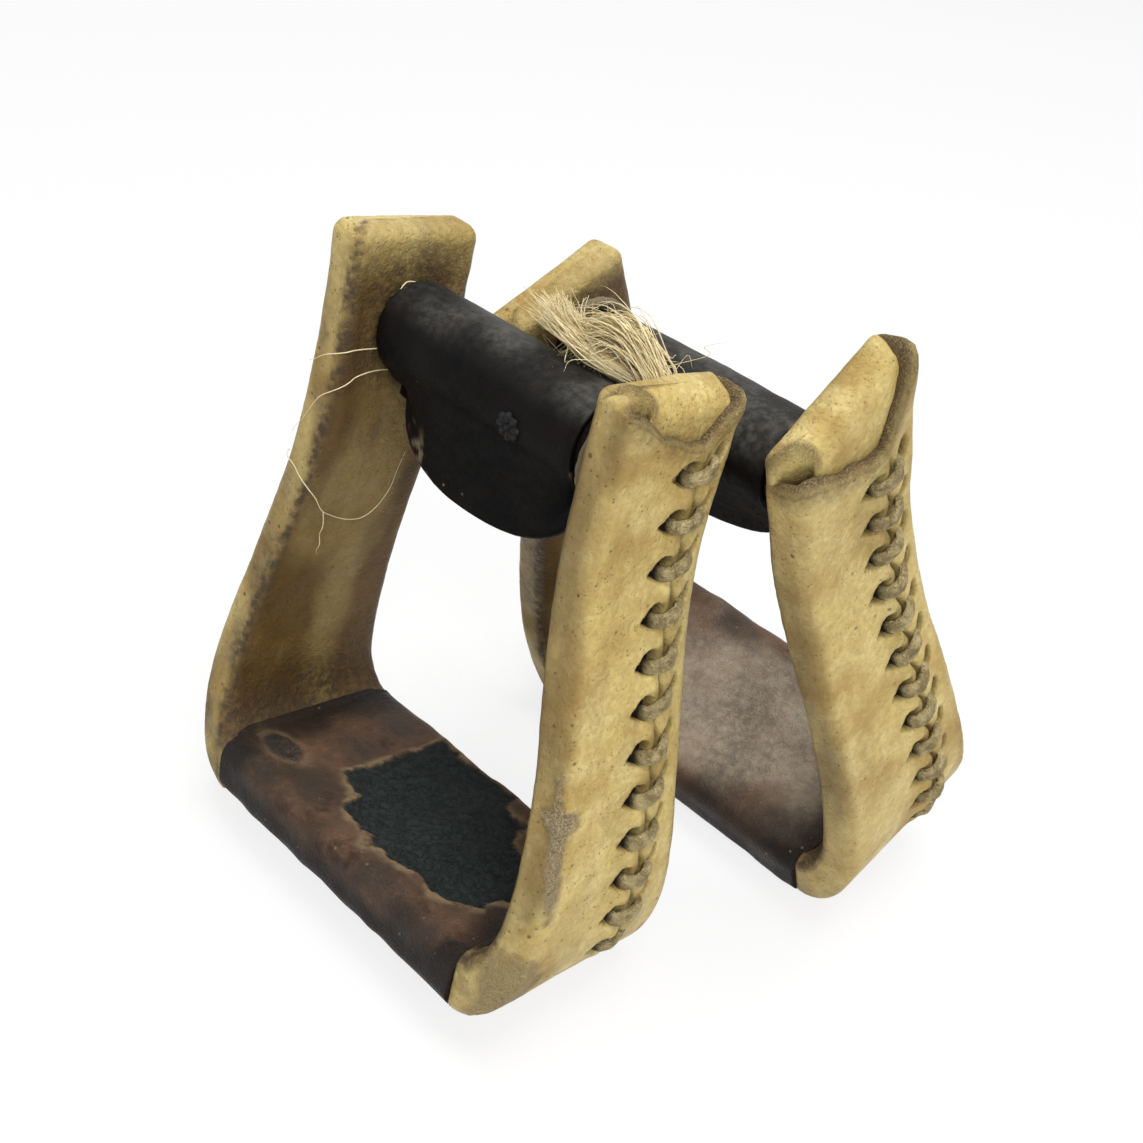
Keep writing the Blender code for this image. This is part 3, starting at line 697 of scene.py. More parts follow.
@dataclass
class StirrupShape:
    """Outline and sections of a stirrup's right leg; the left one mirrors it."""

    height: float = 0.185
    base_half_width: float = 0.056
    bell_half_width: float = 0.0755
    bell_height: float = 0.034
    neck_half_width: float = 0.0565
    neck_height: float = 0.150
    thickness: float = 0.013
    tread_height: float = 0.021
    base_half_depth: float = 0.0350
    neck_half_depth: float = 0.0217
    depth_taper: float = 2.2
    edge_radius: float = 0.0036
    seam_offset: float = 0.0095
    rawhide: float = 0.0022
    roller_height: float = 0.160
    outer: Array = field(init=False)
    inner: Array = field(init=False)
    along: Array = field(init=False)

    def __post_init__(self) -> None:
        """Work out the outer and inner lines of the leg, from the tread to the top."""
        turn = np.linspace(0, math.pi / 2, 60)[:-1]
        out, up = np.sin(turn), 1 - np.cos(turn)
        inner_bell = self.bell_half_width - self.thickness
        widening = self.bell_half_width - self.base_half_width
        corner_outer = np.column_stack([self.base_half_width + widening * out, self.bell_height * up])
        corner_inner = np.column_stack([self.base_half_width + (inner_bell - self.base_half_width) * out,
                                        self.tread_height + (self.bell_height - self.tread_height) * up])
        rise = np.linspace(self.bell_height, self.height, 240)
        share = smooth(rise, self.bell_height, self.neck_height)
        width = self.bell_half_width + (self.neck_half_width - self.bell_half_width) * share
        self.outer = np.vstack([corner_outer, np.column_stack([width, rise])])
        self.inner = np.vstack([corner_inner, np.column_stack([width - self.thickness, rise])])
        self.along = run_along(self.outer)

    def along_at(self, height: float) -> float:
        """Distance along the leg at a height."""
        return float(np.interp(height, self.outer[:, 1], self.along))

    def half_depth(self, height: Array) -> Array:
        """Half of the depth at a height."""
        share = np.clip(1 - height / self.neck_height, 0, 1) ** self.depth_taper
        return self.neck_half_depth + (self.base_half_depth - self.neck_half_depth) * share

    def section(self, along: Array, inset: float | Array = 0.0) -> tuple[Array, ...]:
        """The leg's section at distances along it.

        Args:
            along: distances along the leg.
            inset: how far the section is shrunk.

        Returns:
            Middle and outward direction in X and Z, half thickness, half depth and corner radius.
        """
        outer = np.stack([np.interp(along, self.along, self.outer[:, k]) for k in range(2)], -1)
        inner = np.stack([np.interp(along, self.along, self.inner[:, k]) for k in range(2)], -1)
        middle = (outer + inner) / 2
        gap = np.linalg.norm(outer - inner, axis=-1)
        half = gap / 2 - inset
        depth = self.half_depth(middle[..., 1]) - inset
        radius = np.maximum(np.minimum(self.edge_radius - inset, half - 1e-4), 2e-4)
        return middle, (outer - inner) / gap[..., None], half, depth, radius

    def girth(self, along: Array, inset: float | Array = 0.0) -> Array:
        """Length right round the section."""
        _, _, half, depth, radius = self.section(along, inset)
        return 4 * (half - radius) + 4 * (depth - radius) + 2 * math.pi * radius

    def point(self, along: Array, around: Array,
              inset: float | Array = 0.0) -> tuple[Array, Array, Array]:
        """Points on the right leg's skin.

        Args:
            along: distances along the leg.
            around: distances round the section from the seam, towards the rear edge.
            inset: how far the skin is shrunk.

        Returns:
            Positions, and how far each lies towards the outer face and towards the rear, from -1 to 1.
        """
        middle, out, half, depth, radius = self.section(along, inset)
        arc = math.pi / 2 * radius
        flat, side = depth - radius, half - radius
        seam = np.minimum(self.seam_offset, flat)
        lengths = [flat - seam, arc, 2 * side, arc, 2 * flat, arc, 2 * side, arc, flat + seam]
        rest = np.mod(around, sum(lengths))
        across, deep = np.zeros_like(rest), np.zeros_like(rest)
        waiting = np.ones_like(rest, bool)
        corners = {1: (1, 1, 0), 3: (-1, 1, 1), 5: (-1, -1, 2), 7: (1, -1, 3)}
        for number, length in enumerate(lengths):
            here = waiting & ((rest <= length) | (number == len(lengths) - 1))
            if number in corners:
                sx, sy, quarter = corners[number]
                turn = math.pi / 2 * quarter + rest / radius
                x, y = sx * side + radius * np.cos(turn), sy * flat + radius * np.sin(turn)
            else:
                x = {0: half, 2: side - rest, 4: -half, 6: rest - side, 8: half}[number]
                y = {0: seam + rest, 2: depth, 4: flat - rest, 6: -depth, 8: rest - flat}[number]
            across, deep = np.where(here, x, across), np.where(here, y, deep)
            waiting &= ~here
            rest = np.where(waiting, rest - length, rest)
        spot = np.stack([middle[..., 0] + out[..., 0] * across, deep,
                         middle[..., 1] + out[..., 1] * across], -1)
        return spot, across / np.maximum(half, 1e-4), deep / np.maximum(depth, 1e-4)

    def lifted(self, along: Array, around: Array, lift: Array) -> Array:
        """Points lifted off the right leg's skin."""
        step = 0.0004
        spot = self.point(along, around)[0]
        up = self.point(along + step, around)[0] - self.point(along - step, around)[0]
        round_it = self.point(along, around + step)[0] - self.point(along, around - step)[0]
        return spot + unit(np.cross(round_it, up)) * np.asarray(lift)[..., None]


@dataclass(frozen=True)
class Stance:
    """Where one stirrup stands and how far it leans."""

    suffix: str
    word: str
    roller: Point
    lean: float

    def body(self, part: str) -> str:
        """The name of one of this stirrup's bodies."""
        return f"{self.word}_{part}"

    def node(self, part: str) -> str:
        """The name of one of this stirrup's solids."""
        return f"{part}_{self.suffix}"

    def place(self, points: Array, roller_height: float) -> Array:
        """Carry points from the upright stirrup to where it stands."""
        turn = np.array(Matrix.Rotation(self.lean, 3, "X"))
        return (points - np.array([0, 0, roller_height])) @ turn.T + np.array(self.roller)


class Crown(Enum):
    """How the rawhide closes at the top of a leg."""

    SMOOTH = "drawn smooth over the top"
    FOLDED = "a folded cap inside a cut collar"


@dataclass(frozen=True)
class Spot:
    """A stain or scuff on a leg: where it lies and how far it spreads."""

    mask: str
    along: float
    around: float
    reach_along: float
    reach_around: float
    strength: float = 1.0


@dataclass(frozen=True)
class FoldedTop:
    """A folded crown: where its dark rim starts, the rim's drop in front, and where its fold opens."""

    rim_start: float = -0.041
    front_drop: float = 0.0080
    fold: Point = (0.0010, -0.0180, -0.0062)


# Pieces of one stirrup

@dataclass
class Dressing:
    """A piece that is shaped on the upright stirrup and then stood where that stirrup stands."""

    shape: StirrupShape
    stance: Stance

    def stand(self, name: str, points: Array, faces: Faces, masks: Masks,
              material: Material) -> Piece:
        """Make the piece from points on the upright stirrup."""
        placed = self.stance.place(points.reshape(-1, 3), self.shape.roller_height)
        return make_piece(name, placed, faces, masks, material)


@dataclass
class Lacing:
    """The whip stitches up a leg's seam."""

    shape: StirrupShape
    count: int = 12
    pitch: float = 0.0130
    top_height: float = 0.162
    slant: float = 0.0036
    half_width: float = 0.0021
    half_thickness: float = 0.0012
    inside: float = -0.0052
    lowest_sunk: float = 0.0016

    def stitches(self) -> Array:
        """Distances of the stitches along the leg, lowest first."""
        top = self.shape.along_at(self.top_height)
        return top - self.pitch * np.arange(self.count)[::-1]

    def route(self) -> Array:
        """Centre of the strap: distance along the leg, round it from the seam, and lift off the skin."""
        inside = self.inside
        route = []
        for number, stitch in enumerate(self.stitches()):
            low, high = stitch - self.slant / 2, stitch + self.slant / 2
            wander = 0.0006 * math.sin(2.3 * number)
            sunk = 0.0 if number else -self.lowest_sunk
            route += [(low, -0.0034, inside), (low, -0.0042, -0.0020), (low + 0.0003, -0.0035, 0.0011 + sunk),
                      (stitch + wander, -0.0004, 0.0029 + sunk), (high - 0.0003, 0.0028, 0.0021 + sunk),
                      (high, 0.0042, -0.0006), (high, 0.0042, inside),
                      (high + self.pitch / 2 - self.slant / 2, 0.0, inside)]
        return np.array(route[:-1])

    def build(self, name: str, stance: Stance, side: int, lumps: Lumps,
              material: Material) -> Piece:
        """Make the strap of one leg.

        Args:
            name: the piece's name.
            stance: the stirrup that it belongs to.
            side: 1 for the right leg, -1 for the left one.
            lumps: noise for its rough surface.
            material: its finish.

        Returns:
            The strap.
        """
        path = flowing(self.route(), 5)
        centre = self.shape.lifted(path[:, 0], path[:, 1], path[:, 2])
        step = 0.0006
        up = unit(self.shape.lifted(path[:, 0] + step, path[:, 1], path[:, 2]) - centre)
        tangent = unit(np.gradient(centre, axis=0))
        wide = unit(up - tangent * np.sum(up * tangent, axis=1, keepdims=True))
        thick = np.cross(tangent, wide)
        turn = np.linspace(0, 2 * math.pi, 16, endpoint=False)
        flat = np.sign(np.cos(turn)) * np.abs(np.cos(turn)) ** 0.55
        tall = np.sign(np.sin(turn)) * np.abs(np.sin(turn)) ** 0.7
        run = run_along(centre)
        width = self.half_width * (1 + 0.14 * np.sin(run * 190 + side))
        points = (centre[:, None] + wide[:, None] * (flat[None, :, None] * width[:, None, None])
                  + thick[:, None] * (tall[None, :, None] * self.half_thickness))
        rough = lumps.layered(points * mirror(side), 0.0022) - 0.5
        away = unit(points - centre[:, None])
        points = points + away * (0.0010 * rough)[..., None]
        # Painted shade where the strap dips into its slots
        grime = smooth(-path[:, 2], -0.0006, 0.0016)[:, None] * np.ones(len(turn))
        fuzz = np.abs(flat)[None, :] ** 3 * np.ones((len(run), 1))
        masks = {"run": run[:, None] * np.ones(len(turn)), "cross": flat[None, :] * width[:, None],
                 "grime": grime, "fuzz": fuzz}
        placed = stance.place(points * mirror(side), self.shape.roller_height)
        return make_piece(name, placed, tube_faces(*points.shape[:2]), masks, material)


@dataclass
class LegCover(Dressing):
    """The rawhide round one leg: slots and lobes along the seam, stains and painted shade, and its crown."""

    lacing: Lacing
    side: int
    crown: Crown
    lumps: Lumps
    spots: tuple[Spot, ...] = ()
    fine_reach: float = 0.0105
    fine_columns: int = 45
    coarse_columns: int = 60
    row_step: float = 0.00065
    turned_in: float = 0.004
    fold_height: float = 0.046
    flare: float = 0.0009
    crown_rise: float = 0.0012
    crown_tilt: float = 0.0
    crown_radius: float = 0.0044
    cap_depth: float = 0.028
    fold_reach: Point = (0.0058, 0.0056, 0.0052)
    fold_sink: Point = (-0.0012, 0.0040, -0.0060)
    top: FoldedTop = FoldedTop()
    # Rows past the collar's edge: distance beyond it, inset, and how raw the cut is
    cut_rows: tuple[tuple[float, float, float], ...] = (
        (0.0004, 0.0003, 0.35), (0.0008, 0.0009, 0.85), (0.0009, 0.0015, 1.0), (0.0004, 0.0021, 0.8),
        (-0.0010, 0.0026, 0.3), (-0.0040, 0.0028, 0.1), (-0.0150, 0.0028, 0.0))
    # The collar's edge in millimetres: distances round the leg, and drops from its top
    rim_around: tuple[float, ...] = (-60, -46, -40, -35, -30, -25, -16, -7, 0, 3, 8, 13, 19, 27, 34, 60)
    rim_drop: tuple[float, ...] = (
        12.0, 11.0, 8.5, 8.0, 6.5, 8.5, 13.5, 16.5, 17.0, 13.5, 7.5, 3.0, 2.5, 4.0, 11.0, 12.0)

    def around(self, along: Array, inset: float | Array = 0.0) -> tuple[Array, Array]:
        """Distances round the leg for every column, and the same with a sign either side of the seam."""
        girth = self.shape.girth(along, inset)
        fine = np.linspace(-self.fine_reach, self.fine_reach, self.fine_columns)
        shares = np.linspace(0, 1, self.coarse_columns + 2)[1:-1]
        coarse = self.fine_reach + shares * (girth[..., :1] - 2 * self.fine_reach)
        rows = np.broadcast_to(fine, (*coarse.shape[:-1], len(fine)))
        whole = np.concatenate([rows, coarse], -1)
        return whole, np.where(whole > girth[..., :1] / 2, whole - girth[..., :1], whole)

    def rim(self, signed: Array) -> Array:
        """Distance along the leg of the collar's cut edge at each column."""
        drop = np.interp(signed * 1000, self.rim_around, self.rim_drop) / 1000
        front = bump(signed, -0.0375, 0.0055)
        drop = drop + (self.top.front_drop - FoldedTop.front_drop) * front
        line = np.stack([signed, 0 * signed, 0 * signed + self.stance.roller[1]], -1)
        wobble = self.lumps.layered(line, 0.006) - 0.5
        return self.shape.along[-1] - drop + 0.0026 * wobble

    def seam_relief(self, along: Array, signed: Array) -> tuple[Array, Array]:
        """Height of the lobes, slots and gap of the laced seam, and their darkness: painted shade in the
        slots, a dark line in the gap.
        """
        stitches, pitch = self.lacing.stitches(), self.lacing.pitch
        inside = smooth(along, stitches[0] - 0.8 * pitch, stitches[0])
        inside = inside * (1 - smooth(along, stitches[-1], stitches[-1] + 0.6 * pitch))
        phase = 2 * math.pi * (along - stitches[-1]) / pitch
        wave = 0.5 - 0.5 * np.cos(phase)
        lift = inside * (0.0005 * bump(signed, 0, 0.0085) + 0.0017 * wave * bump(signed, -0.0030, 0.0026)
                         + 0.0011 * wave * bump(signed, 0.0036, 0.0024))
        pit = np.zeros_like(along)
        for stitch in stitches:
            across, up = signed + 0.0056, along - stitch + 0.0002
            up = up - 0.25 * across
            tall = 0.0039 * (0.35 + 0.65 * smooth(across, -0.0040, 0.0010))
            pit = np.maximum(pit, 1 - smooth((across / 0.0044) ** 2 + (up / tall) ** 2, 0.6, 1.0))
            across, up = signed - 0.0056, along - stitch - 0.0034
            across = across - 0.30 * up
            pit = np.maximum(pit, 1 - smooth((across / 0.0025) ** 2 + (up / 0.0041) ** 2, 0.6, 1.0))
        line = 0.0006 + 0.0011 * np.sin(phase + 0.7)
        gap = inside * bump(signed - line, 0.0, 0.0006)
        lift = lift * (1 - pit) - 0.0032 * pit - 0.0017 * gap * (1 - pit)
        return lift, np.clip(np.maximum(pit, 0.8 * gap), 0, 1)

    def seed(self, points: Array) -> Array:
        """Where the noise is read for points of the right leg, so that no two legs are alike."""
        return points * mirror(self.side) + np.array(self.stance.roller)

    def masks(self, points: Array, along: Array, signed: Array, out: Array, rear: Array) -> Masks:
        """Stains of the skin, and painted shade next to the neck leather.

        Args:
            points: positions on the upright stirrup's right leg.
            along: distances along the leg.
            signed: distances round it from the seam.
            out: how far each point lies towards the outer face, from -1 to 1.
            rear: how far it lies towards the rear, from -1 to 1.

        Returns:
            The masks that the rawhide finish reads.
        """
        seed = self.seed(points)
        cloud = self.lumps.layered(seed, 0.020)
        drawn = self.lumps.layered(seed * np.array([1, 1, 0.3]) + 0.7, 0.012)
        patch = self.lumps.layered(seed + 0.3, 0.006)
        inner = smooth(-out, 0.35, 0.95)
        _, deep, height = np.moveaxis(points, -1, 0)
        edge = np.maximum(smooth(-rear, 0.80, 0.98), smooth(rear, 0.80, 0.98))
        roller = np.hypot(deep, height - self.shape.roller_height)
        amber = inner * (0.66 + 0.40 * smooth(drawn, 0.3, 0.7))
        worn_edge = 0.12 if self.side < 0 else 0.22
        amber = np.maximum(amber, edge * (worn_edge + 0.38 * smooth(drawn, 0.38, 0.66)))
        amber = np.maximum(amber, 0.20 * smooth(drawn, 0.50, 0.75))
        # The amber fades towards the top of the leg
        top_fade = smooth(height, self.shape.height - 0.016, self.shape.height)
        amber = np.clip(amber * (1 - 0.75 * top_fade), 0, 1)
        shown = 1.3 if self.side < 0 else 0.15
        # Painted shade on the inner face next to the neck leather and under it
        near_neck = inner * (1 - smooth(roller, 0.008, 0.034)) * (0.45 + 0.6 * smooth(patch, 0.25, 0.6))
        below_neck = inner * bump(deep, 0.0, 0.012) * smooth(height, 0.095, 0.135) * 0.45
        near_neck = np.maximum(near_neck, below_neck * (height < self.shape.roller_height))
        corner = shown * bump(out, -0.85, 0.34) * smooth(-rear, 0.86, 0.98)
        corner = corner * smooth(patch + 0.4 * drawn, 0.42, 0.70)
        front = shown * smooth(-rear, 0.93, 1.0) * smooth(drawn + 0.5 * patch, 0.76, 1.0) * 0.40
        # Darker towards the tread, most on the inner face
        low = (1 - smooth(height, 0.010, 0.034)) * smooth(patch, 0.3, 0.7) * 0.35
        low = np.maximum(low, inner * (1 - smooth(height + 0.012 * (patch - 0.5), 0.026, 0.046)) * 0.95)
        rear_corner = bump(out, 0.6, 0.6) * smooth(rear, 0.8, 1.0) * smooth(patch, 0.4, 0.75) * 0.5
        seam = bump(signed, 0.0, 0.0070) * smooth(cloud, 0.30, 0.8) * 0.35
        grime = np.clip(near_neck + corner + front + low + rear_corner + seam, 0, 1)
        specks = np.clip(0.40 + 0.8 * edge + 0.5 * smooth(cloud, 0.4, 0.7), 0, 1)
        found = {"amber": amber, "grime": grime, "scuff": 0 * amber, "speck": specks}
        for spot in self.spots:
            away = np.hypot((along - spot.along) / spot.reach_along,
                            (signed - spot.around) / spot.reach_around)
            ragged = away + 0.9 * (patch - 0.5)
            mark = spot.strength * (1 - smooth(ragged, 0.80, 1.0))
            deepen(found, spot.mask, mark)
            if spot.mask == "scuff":
                deepen(found, "grime", 0.55 * spot.strength * bump(ragged, 1.02, 0.16))
        return found

    def skin(self, along: Array, inset: Array, rise: Array, carved: Array,
             cut: Array, proud: Array | float = 0.0) -> tuple[Array, Masks]:
        """Points, and masks of stains and painted shade, over rows of columns round the leg.

        Args:
            along: distance along the leg of each point.
            inset: how far each row is shrunk.
            rise: how far each row is raised over that distance.
            carved: how much of the seam's relief each row has.
            cut: how far each row is a raw cut edge.
            proud: how far each row stands off, except on the inner face.

        Returns:
            Positions on the upright right leg, and the masks.
        """
        whole, signed = self.around(along, inset)
        points, out, rear = self.shape.point(along, whole, inset)
        points[..., 2] += rise
        normal = unit(np.cross(np.roll(points, -1, 1) - np.roll(points, 1, 1), np.gradient(points, axis=0)))
        lift, pit = self.seam_relief(along, signed)
        seed = self.seed(points)
        dents = 0.0016 * (self.lumps.layered(seed, 0.030) - 0.5)
        dents = dents + 0.0003 * (self.lumps.layered(seed, 0.004) - 0.5)
        found = self.masks(points, along, signed, out, rear)
        dents = dents + 0.0016 * found["scuff"] * (self.lumps.layered(seed, 0.0018) - 0.4)
        dents = dents + 0.0007 * cut * (self.lumps.layered(seed, 0.0012) - 0.4)
        stand_off = proud * (1 - smooth(-out, -0.3, 0.7))
        points = points + normal * (lift * carved + dents + stand_off)[..., None]
        found["pit"] = pit * carved
        found["cut"] = np.broadcast_to(cut, along.shape).copy()
        return points, found

    def levels(self, top: float) -> Array:
        """Distances of the rows along the leg up to a top."""
        return np.linspace(0.0, top, int(top / self.row_step))

    def rows(self, values: Array) -> Array:
        """Repeat a value for each row over all columns."""
        return np.asarray(values, float)[:, None] * np.ones(self.fine_columns + self.coarse_columns)

    def rounded_over(self, steps: int, flat: tuple[float, ...], dome: float = 0.0) -> tuple[Array, Array]:
        """The rows that close a crown.

        Args:
            steps: rows round its edge.
            flat: how much further each row on the top is drawn in.
            dome: how much of that those rows rise.

        Returns:
            How far each row is shrunk, and how far it is raised.
        """
        radius = self.crown_radius
        turns = np.linspace(0, math.pi / 2, steps + 1)[1:]
        shut = radius + np.array(flat)
        inset = np.concatenate([radius * (1 - np.cos(turns)), shut])
        return inset, np.concatenate([radius * np.sin(turns), radius + dome * (shut - radius)])

    def smooth_rows(self) -> list[Array]:
        """Rows of a leg whose hide is drawn over the top."""
        top = self.shape.along_at(self.shape.height - self.crown_radius)
        levels = self.levels(top)
        over, lift = self.rounded_over(8, (0.0006, 0.0012, 0.0016, 0.0018), 0.15)
        along = np.concatenate([[self.turned_in, 0.0], levels, np.full(len(over), top)])
        inset = np.concatenate([[self.shape.rawhide] * 2, 0 * levels, over])
        rise = np.concatenate([[0, 0], 0 * levels, lift])
        carved = np.concatenate([[0, 0], 0 * levels + 1, 0 * over])
        return [self.rows(row) for row in (along, inset, rise, carved, 0 * along)]

    def folded_rows(self) -> list[Array]:
        """Rows of a leg whose hide ends in a cut collar that stands proud near its edge."""
        low = self.shape.along[-1] - self.fold_height
        levels = self.levels(low)
        _, signed = self.around(np.full((1, 1), low))
        rim = self.rim(signed)
        shares = np.linspace(0, 1, int(self.fold_height / self.row_step))[1:]
        upper = low + (rim - low) * shares[:, None]
        lip = np.array(self.cut_rows)
        along = np.vstack([self.rows([self.turned_in, 0.0]), self.rows(levels), upper, rim + lip[:, :1]])
        below = len(levels) + len(shares)
        inset = np.concatenate([[self.shape.rawhide] * 2, np.zeros(below), lip[:, 1]])
        carved = np.concatenate([[0, 0], np.ones(below), np.zeros(len(lip))])
        cut = np.concatenate([[0, 0], np.zeros(below - 1), [0.4], lip[:, 2]])
        flare = np.concatenate([np.zeros(2 + len(levels)), self.flare * smooth(shares, 0.82, 1.0),
                                np.full(len(lip), self.flare)])
        return [along, self.rows(inset), 0 * along, self.rows(carved), self.rows(cut), flare[:, None]]

    def build(self, name: str, material: Material) -> Piece:
        """Make the cover and its crown as one piece."""
        if self.crown is Crown.SMOOTH:
            points, found = self.skin(*self.smooth_rows())
            points, faces = joined_tubes([points])
        else:
            rows = self.folded_rows()
            points, found = self.skin(*rows)
            self.darken_rim(found, rows[0])
            radius = self.crown_radius
            share = np.clip((points[..., 2] - self.shape.height + radius) / radius, 0, 0.98)
            inward = radius * (1 - np.sqrt(1 - share ** 2)) * smooth(-points[..., 1], 0.012, 0.019)
            points[..., 1] += inward
            cap, cap_found = self.cap()
            points, faces = joined_tubes([points, cap])
            found = {key: np.concatenate([found[key].ravel(), cap_found[key].ravel()]) for key in found}
        share = smooth(points[..., 2], self.shape.height - 0.020, self.shape.height)
        rear = 0.5 + 0.5 * points[..., 1] / self.shape.neck_half_depth
        points[..., 2] += share * (self.crown_rise + self.crown_tilt * rear)
        points = points * mirror(self.side)
        return self.stand(name, points, faces, found, material)

    def darken_rim(self, found: Masks, along: Array) -> None:
        """Darken the hide just below the collar's cut edge, and paint shade inside its turned in lip."""
        _, signed = self.around(np.full((1, 1), along[-1, 0]))
        below = self.rim(signed) - along
        band = (1 - smooth(below, 0.0008, 0.0060)) * (below > -0.002)
        start = self.top.rim_start
        shown = smooth(signed, start, start + 0.003) * (1 - smooth(signed, 0.020, 0.026))
        deepen(found, "grime", 0.45 * band * shown)
        found["cut"] = found["cut"] * shown
        # Painted shade inside the collar's turned in lip
        found["pit"][-4:] = np.maximum(found["pit"][-4:], shown * np.array([[0.15], [0.75], [0.95], [0.95]]))

    def cap(self) -> tuple[Array, Masks]:
        """The folded pad of hide inside the collar, flush with the inner face, with an open fold in front."""
        inset = self.shape.rawhide / 2
        top = self.shape.along_at(self.shape.height - self.crown_radius)
        levels = np.linspace(top - self.cap_depth, top, 44)
        over, lift = self.rounded_over(11, (0.0004, 0.0007))
        along = np.concatenate([levels, np.full(len(over), top)])
        tuck = 0.0010 * (1 - smooth(levels, top - self.cap_depth, top - 0.020))
        shrink = np.concatenate([tuck, over]) + inset
        rise = np.concatenate([0 * levels, lift])
        rows = [self.rows(row) for row in (along, shrink, rise, 0 * along, 0 * along)]
        points, found = self.skin(*rows)
        points[..., 0] -= inset + 0.00025
        height, half = self.shape.height, self.shape.thickness / 2
        towards = (points[..., 0] - self.shape.neck_half_width + half) / half
        near_top = smooth(points[..., 2], height - 0.018, height - 0.002)
        points[..., 2] -= 0.0050 * np.clip((towards + 0.8) / 1.6, 0, 1) ** 1.6 * near_top
        fold = np.array(self.top.fold) + np.array([self.shape.neck_half_width - half, 0, height])
        away = np.linalg.norm((points - fold) / np.array(self.fold_reach), axis=-1)
        hollow = 1 - smooth(away, 0.35, 1.0)
        points = points + np.array(self.fold_sink) * hollow[..., None]
        lip = bump(away, 1.15, 0.22) * smooth(points[..., 2], height - 0.012, height - 0.004)
        points[..., 2] += 0.0012 * lip
        # Painted shade in the hollow of the fold
        deepen(found, "pit", 0.75 * smooth(hollow, 0.25, 0.9))
        deepen(found, "cut", 0.65 * lip)
        # Painted shade in the crease at the foot of the cap, under the collar
        crease = (1 - smooth(points[..., 2], height - 0.020, height - 0.010)) * smooth(towards, 0.2, 0.8)
        found["grime"] = np.maximum(0.3 * found["grime"], 0.8 * crease)
        found["amber"] = 0.45 * found["amber"]
        return points, found


@dataclass
class WoodCore(Dressing):
    """The bent wood under the rawhide: two legs and the tread board."""

    inset: float = 0.0026
    top_gap: float = 0.015
    low_end: float = 0.006
    leg_rows: int = 60
    columns: int = 64

    def leg(self) -> Array:
        """Rings of the right leg, closed at both ends."""
        top = self.shape.along_at(self.shape.height - self.top_gap)
        low = self.low_end
        along = np.concatenate([[low] * 2, np.linspace(low, top, self.leg_rows), [top] * 2])
        inset = np.concatenate([[0.0055, 0.0040], np.full(self.leg_rows, self.inset), [0.0040, 0.0055]])
        along, inset = along[:, None] * np.ones(self.columns), inset[:, None] * np.ones(self.columns)
        shares = np.linspace(0, 1, self.columns, endpoint=False)
        return self.shape.point(along, shares * self.shape.girth(along, inset), inset)[0]

    def board(self) -> Array:
        """Rings of the tread board, closed at both ends."""
        turn = np.linspace(0, 2 * math.pi, self.columns, endpoint=False)
        square = np.maximum(np.abs(np.cos(turn)), np.abs(np.sin(turn)))
        deep, tall = self.shape.base_half_depth - 0.0075, self.shape.tread_height / 2 - 0.0045
        ring = np.column_stack([0 * turn, deep * np.cos(turn) / square, tall * np.sin(turn) / square])
        ring[:, 2] += self.shape.tread_height / 2
        rows = [(-1.0, 0.2), (-1.0, 1.0), (1.0, 1.0), (1.0, 0.2)]
        middle = np.array([0, 0, self.shape.tread_height / 2])
        reach = np.array([self.shape.base_half_width, 0, 0])
        return np.stack([middle + (ring - middle) * scale + side * reach for side, scale in rows])

    def build(self, name: str, material: Material) -> Piece:
        """Make the core as one piece."""
        right, board = self.leg(), self.board()
        points, faces = joined_tubes([right, right * mirror(-1), board])
        return self.stand(name, points, faces, {}, material)


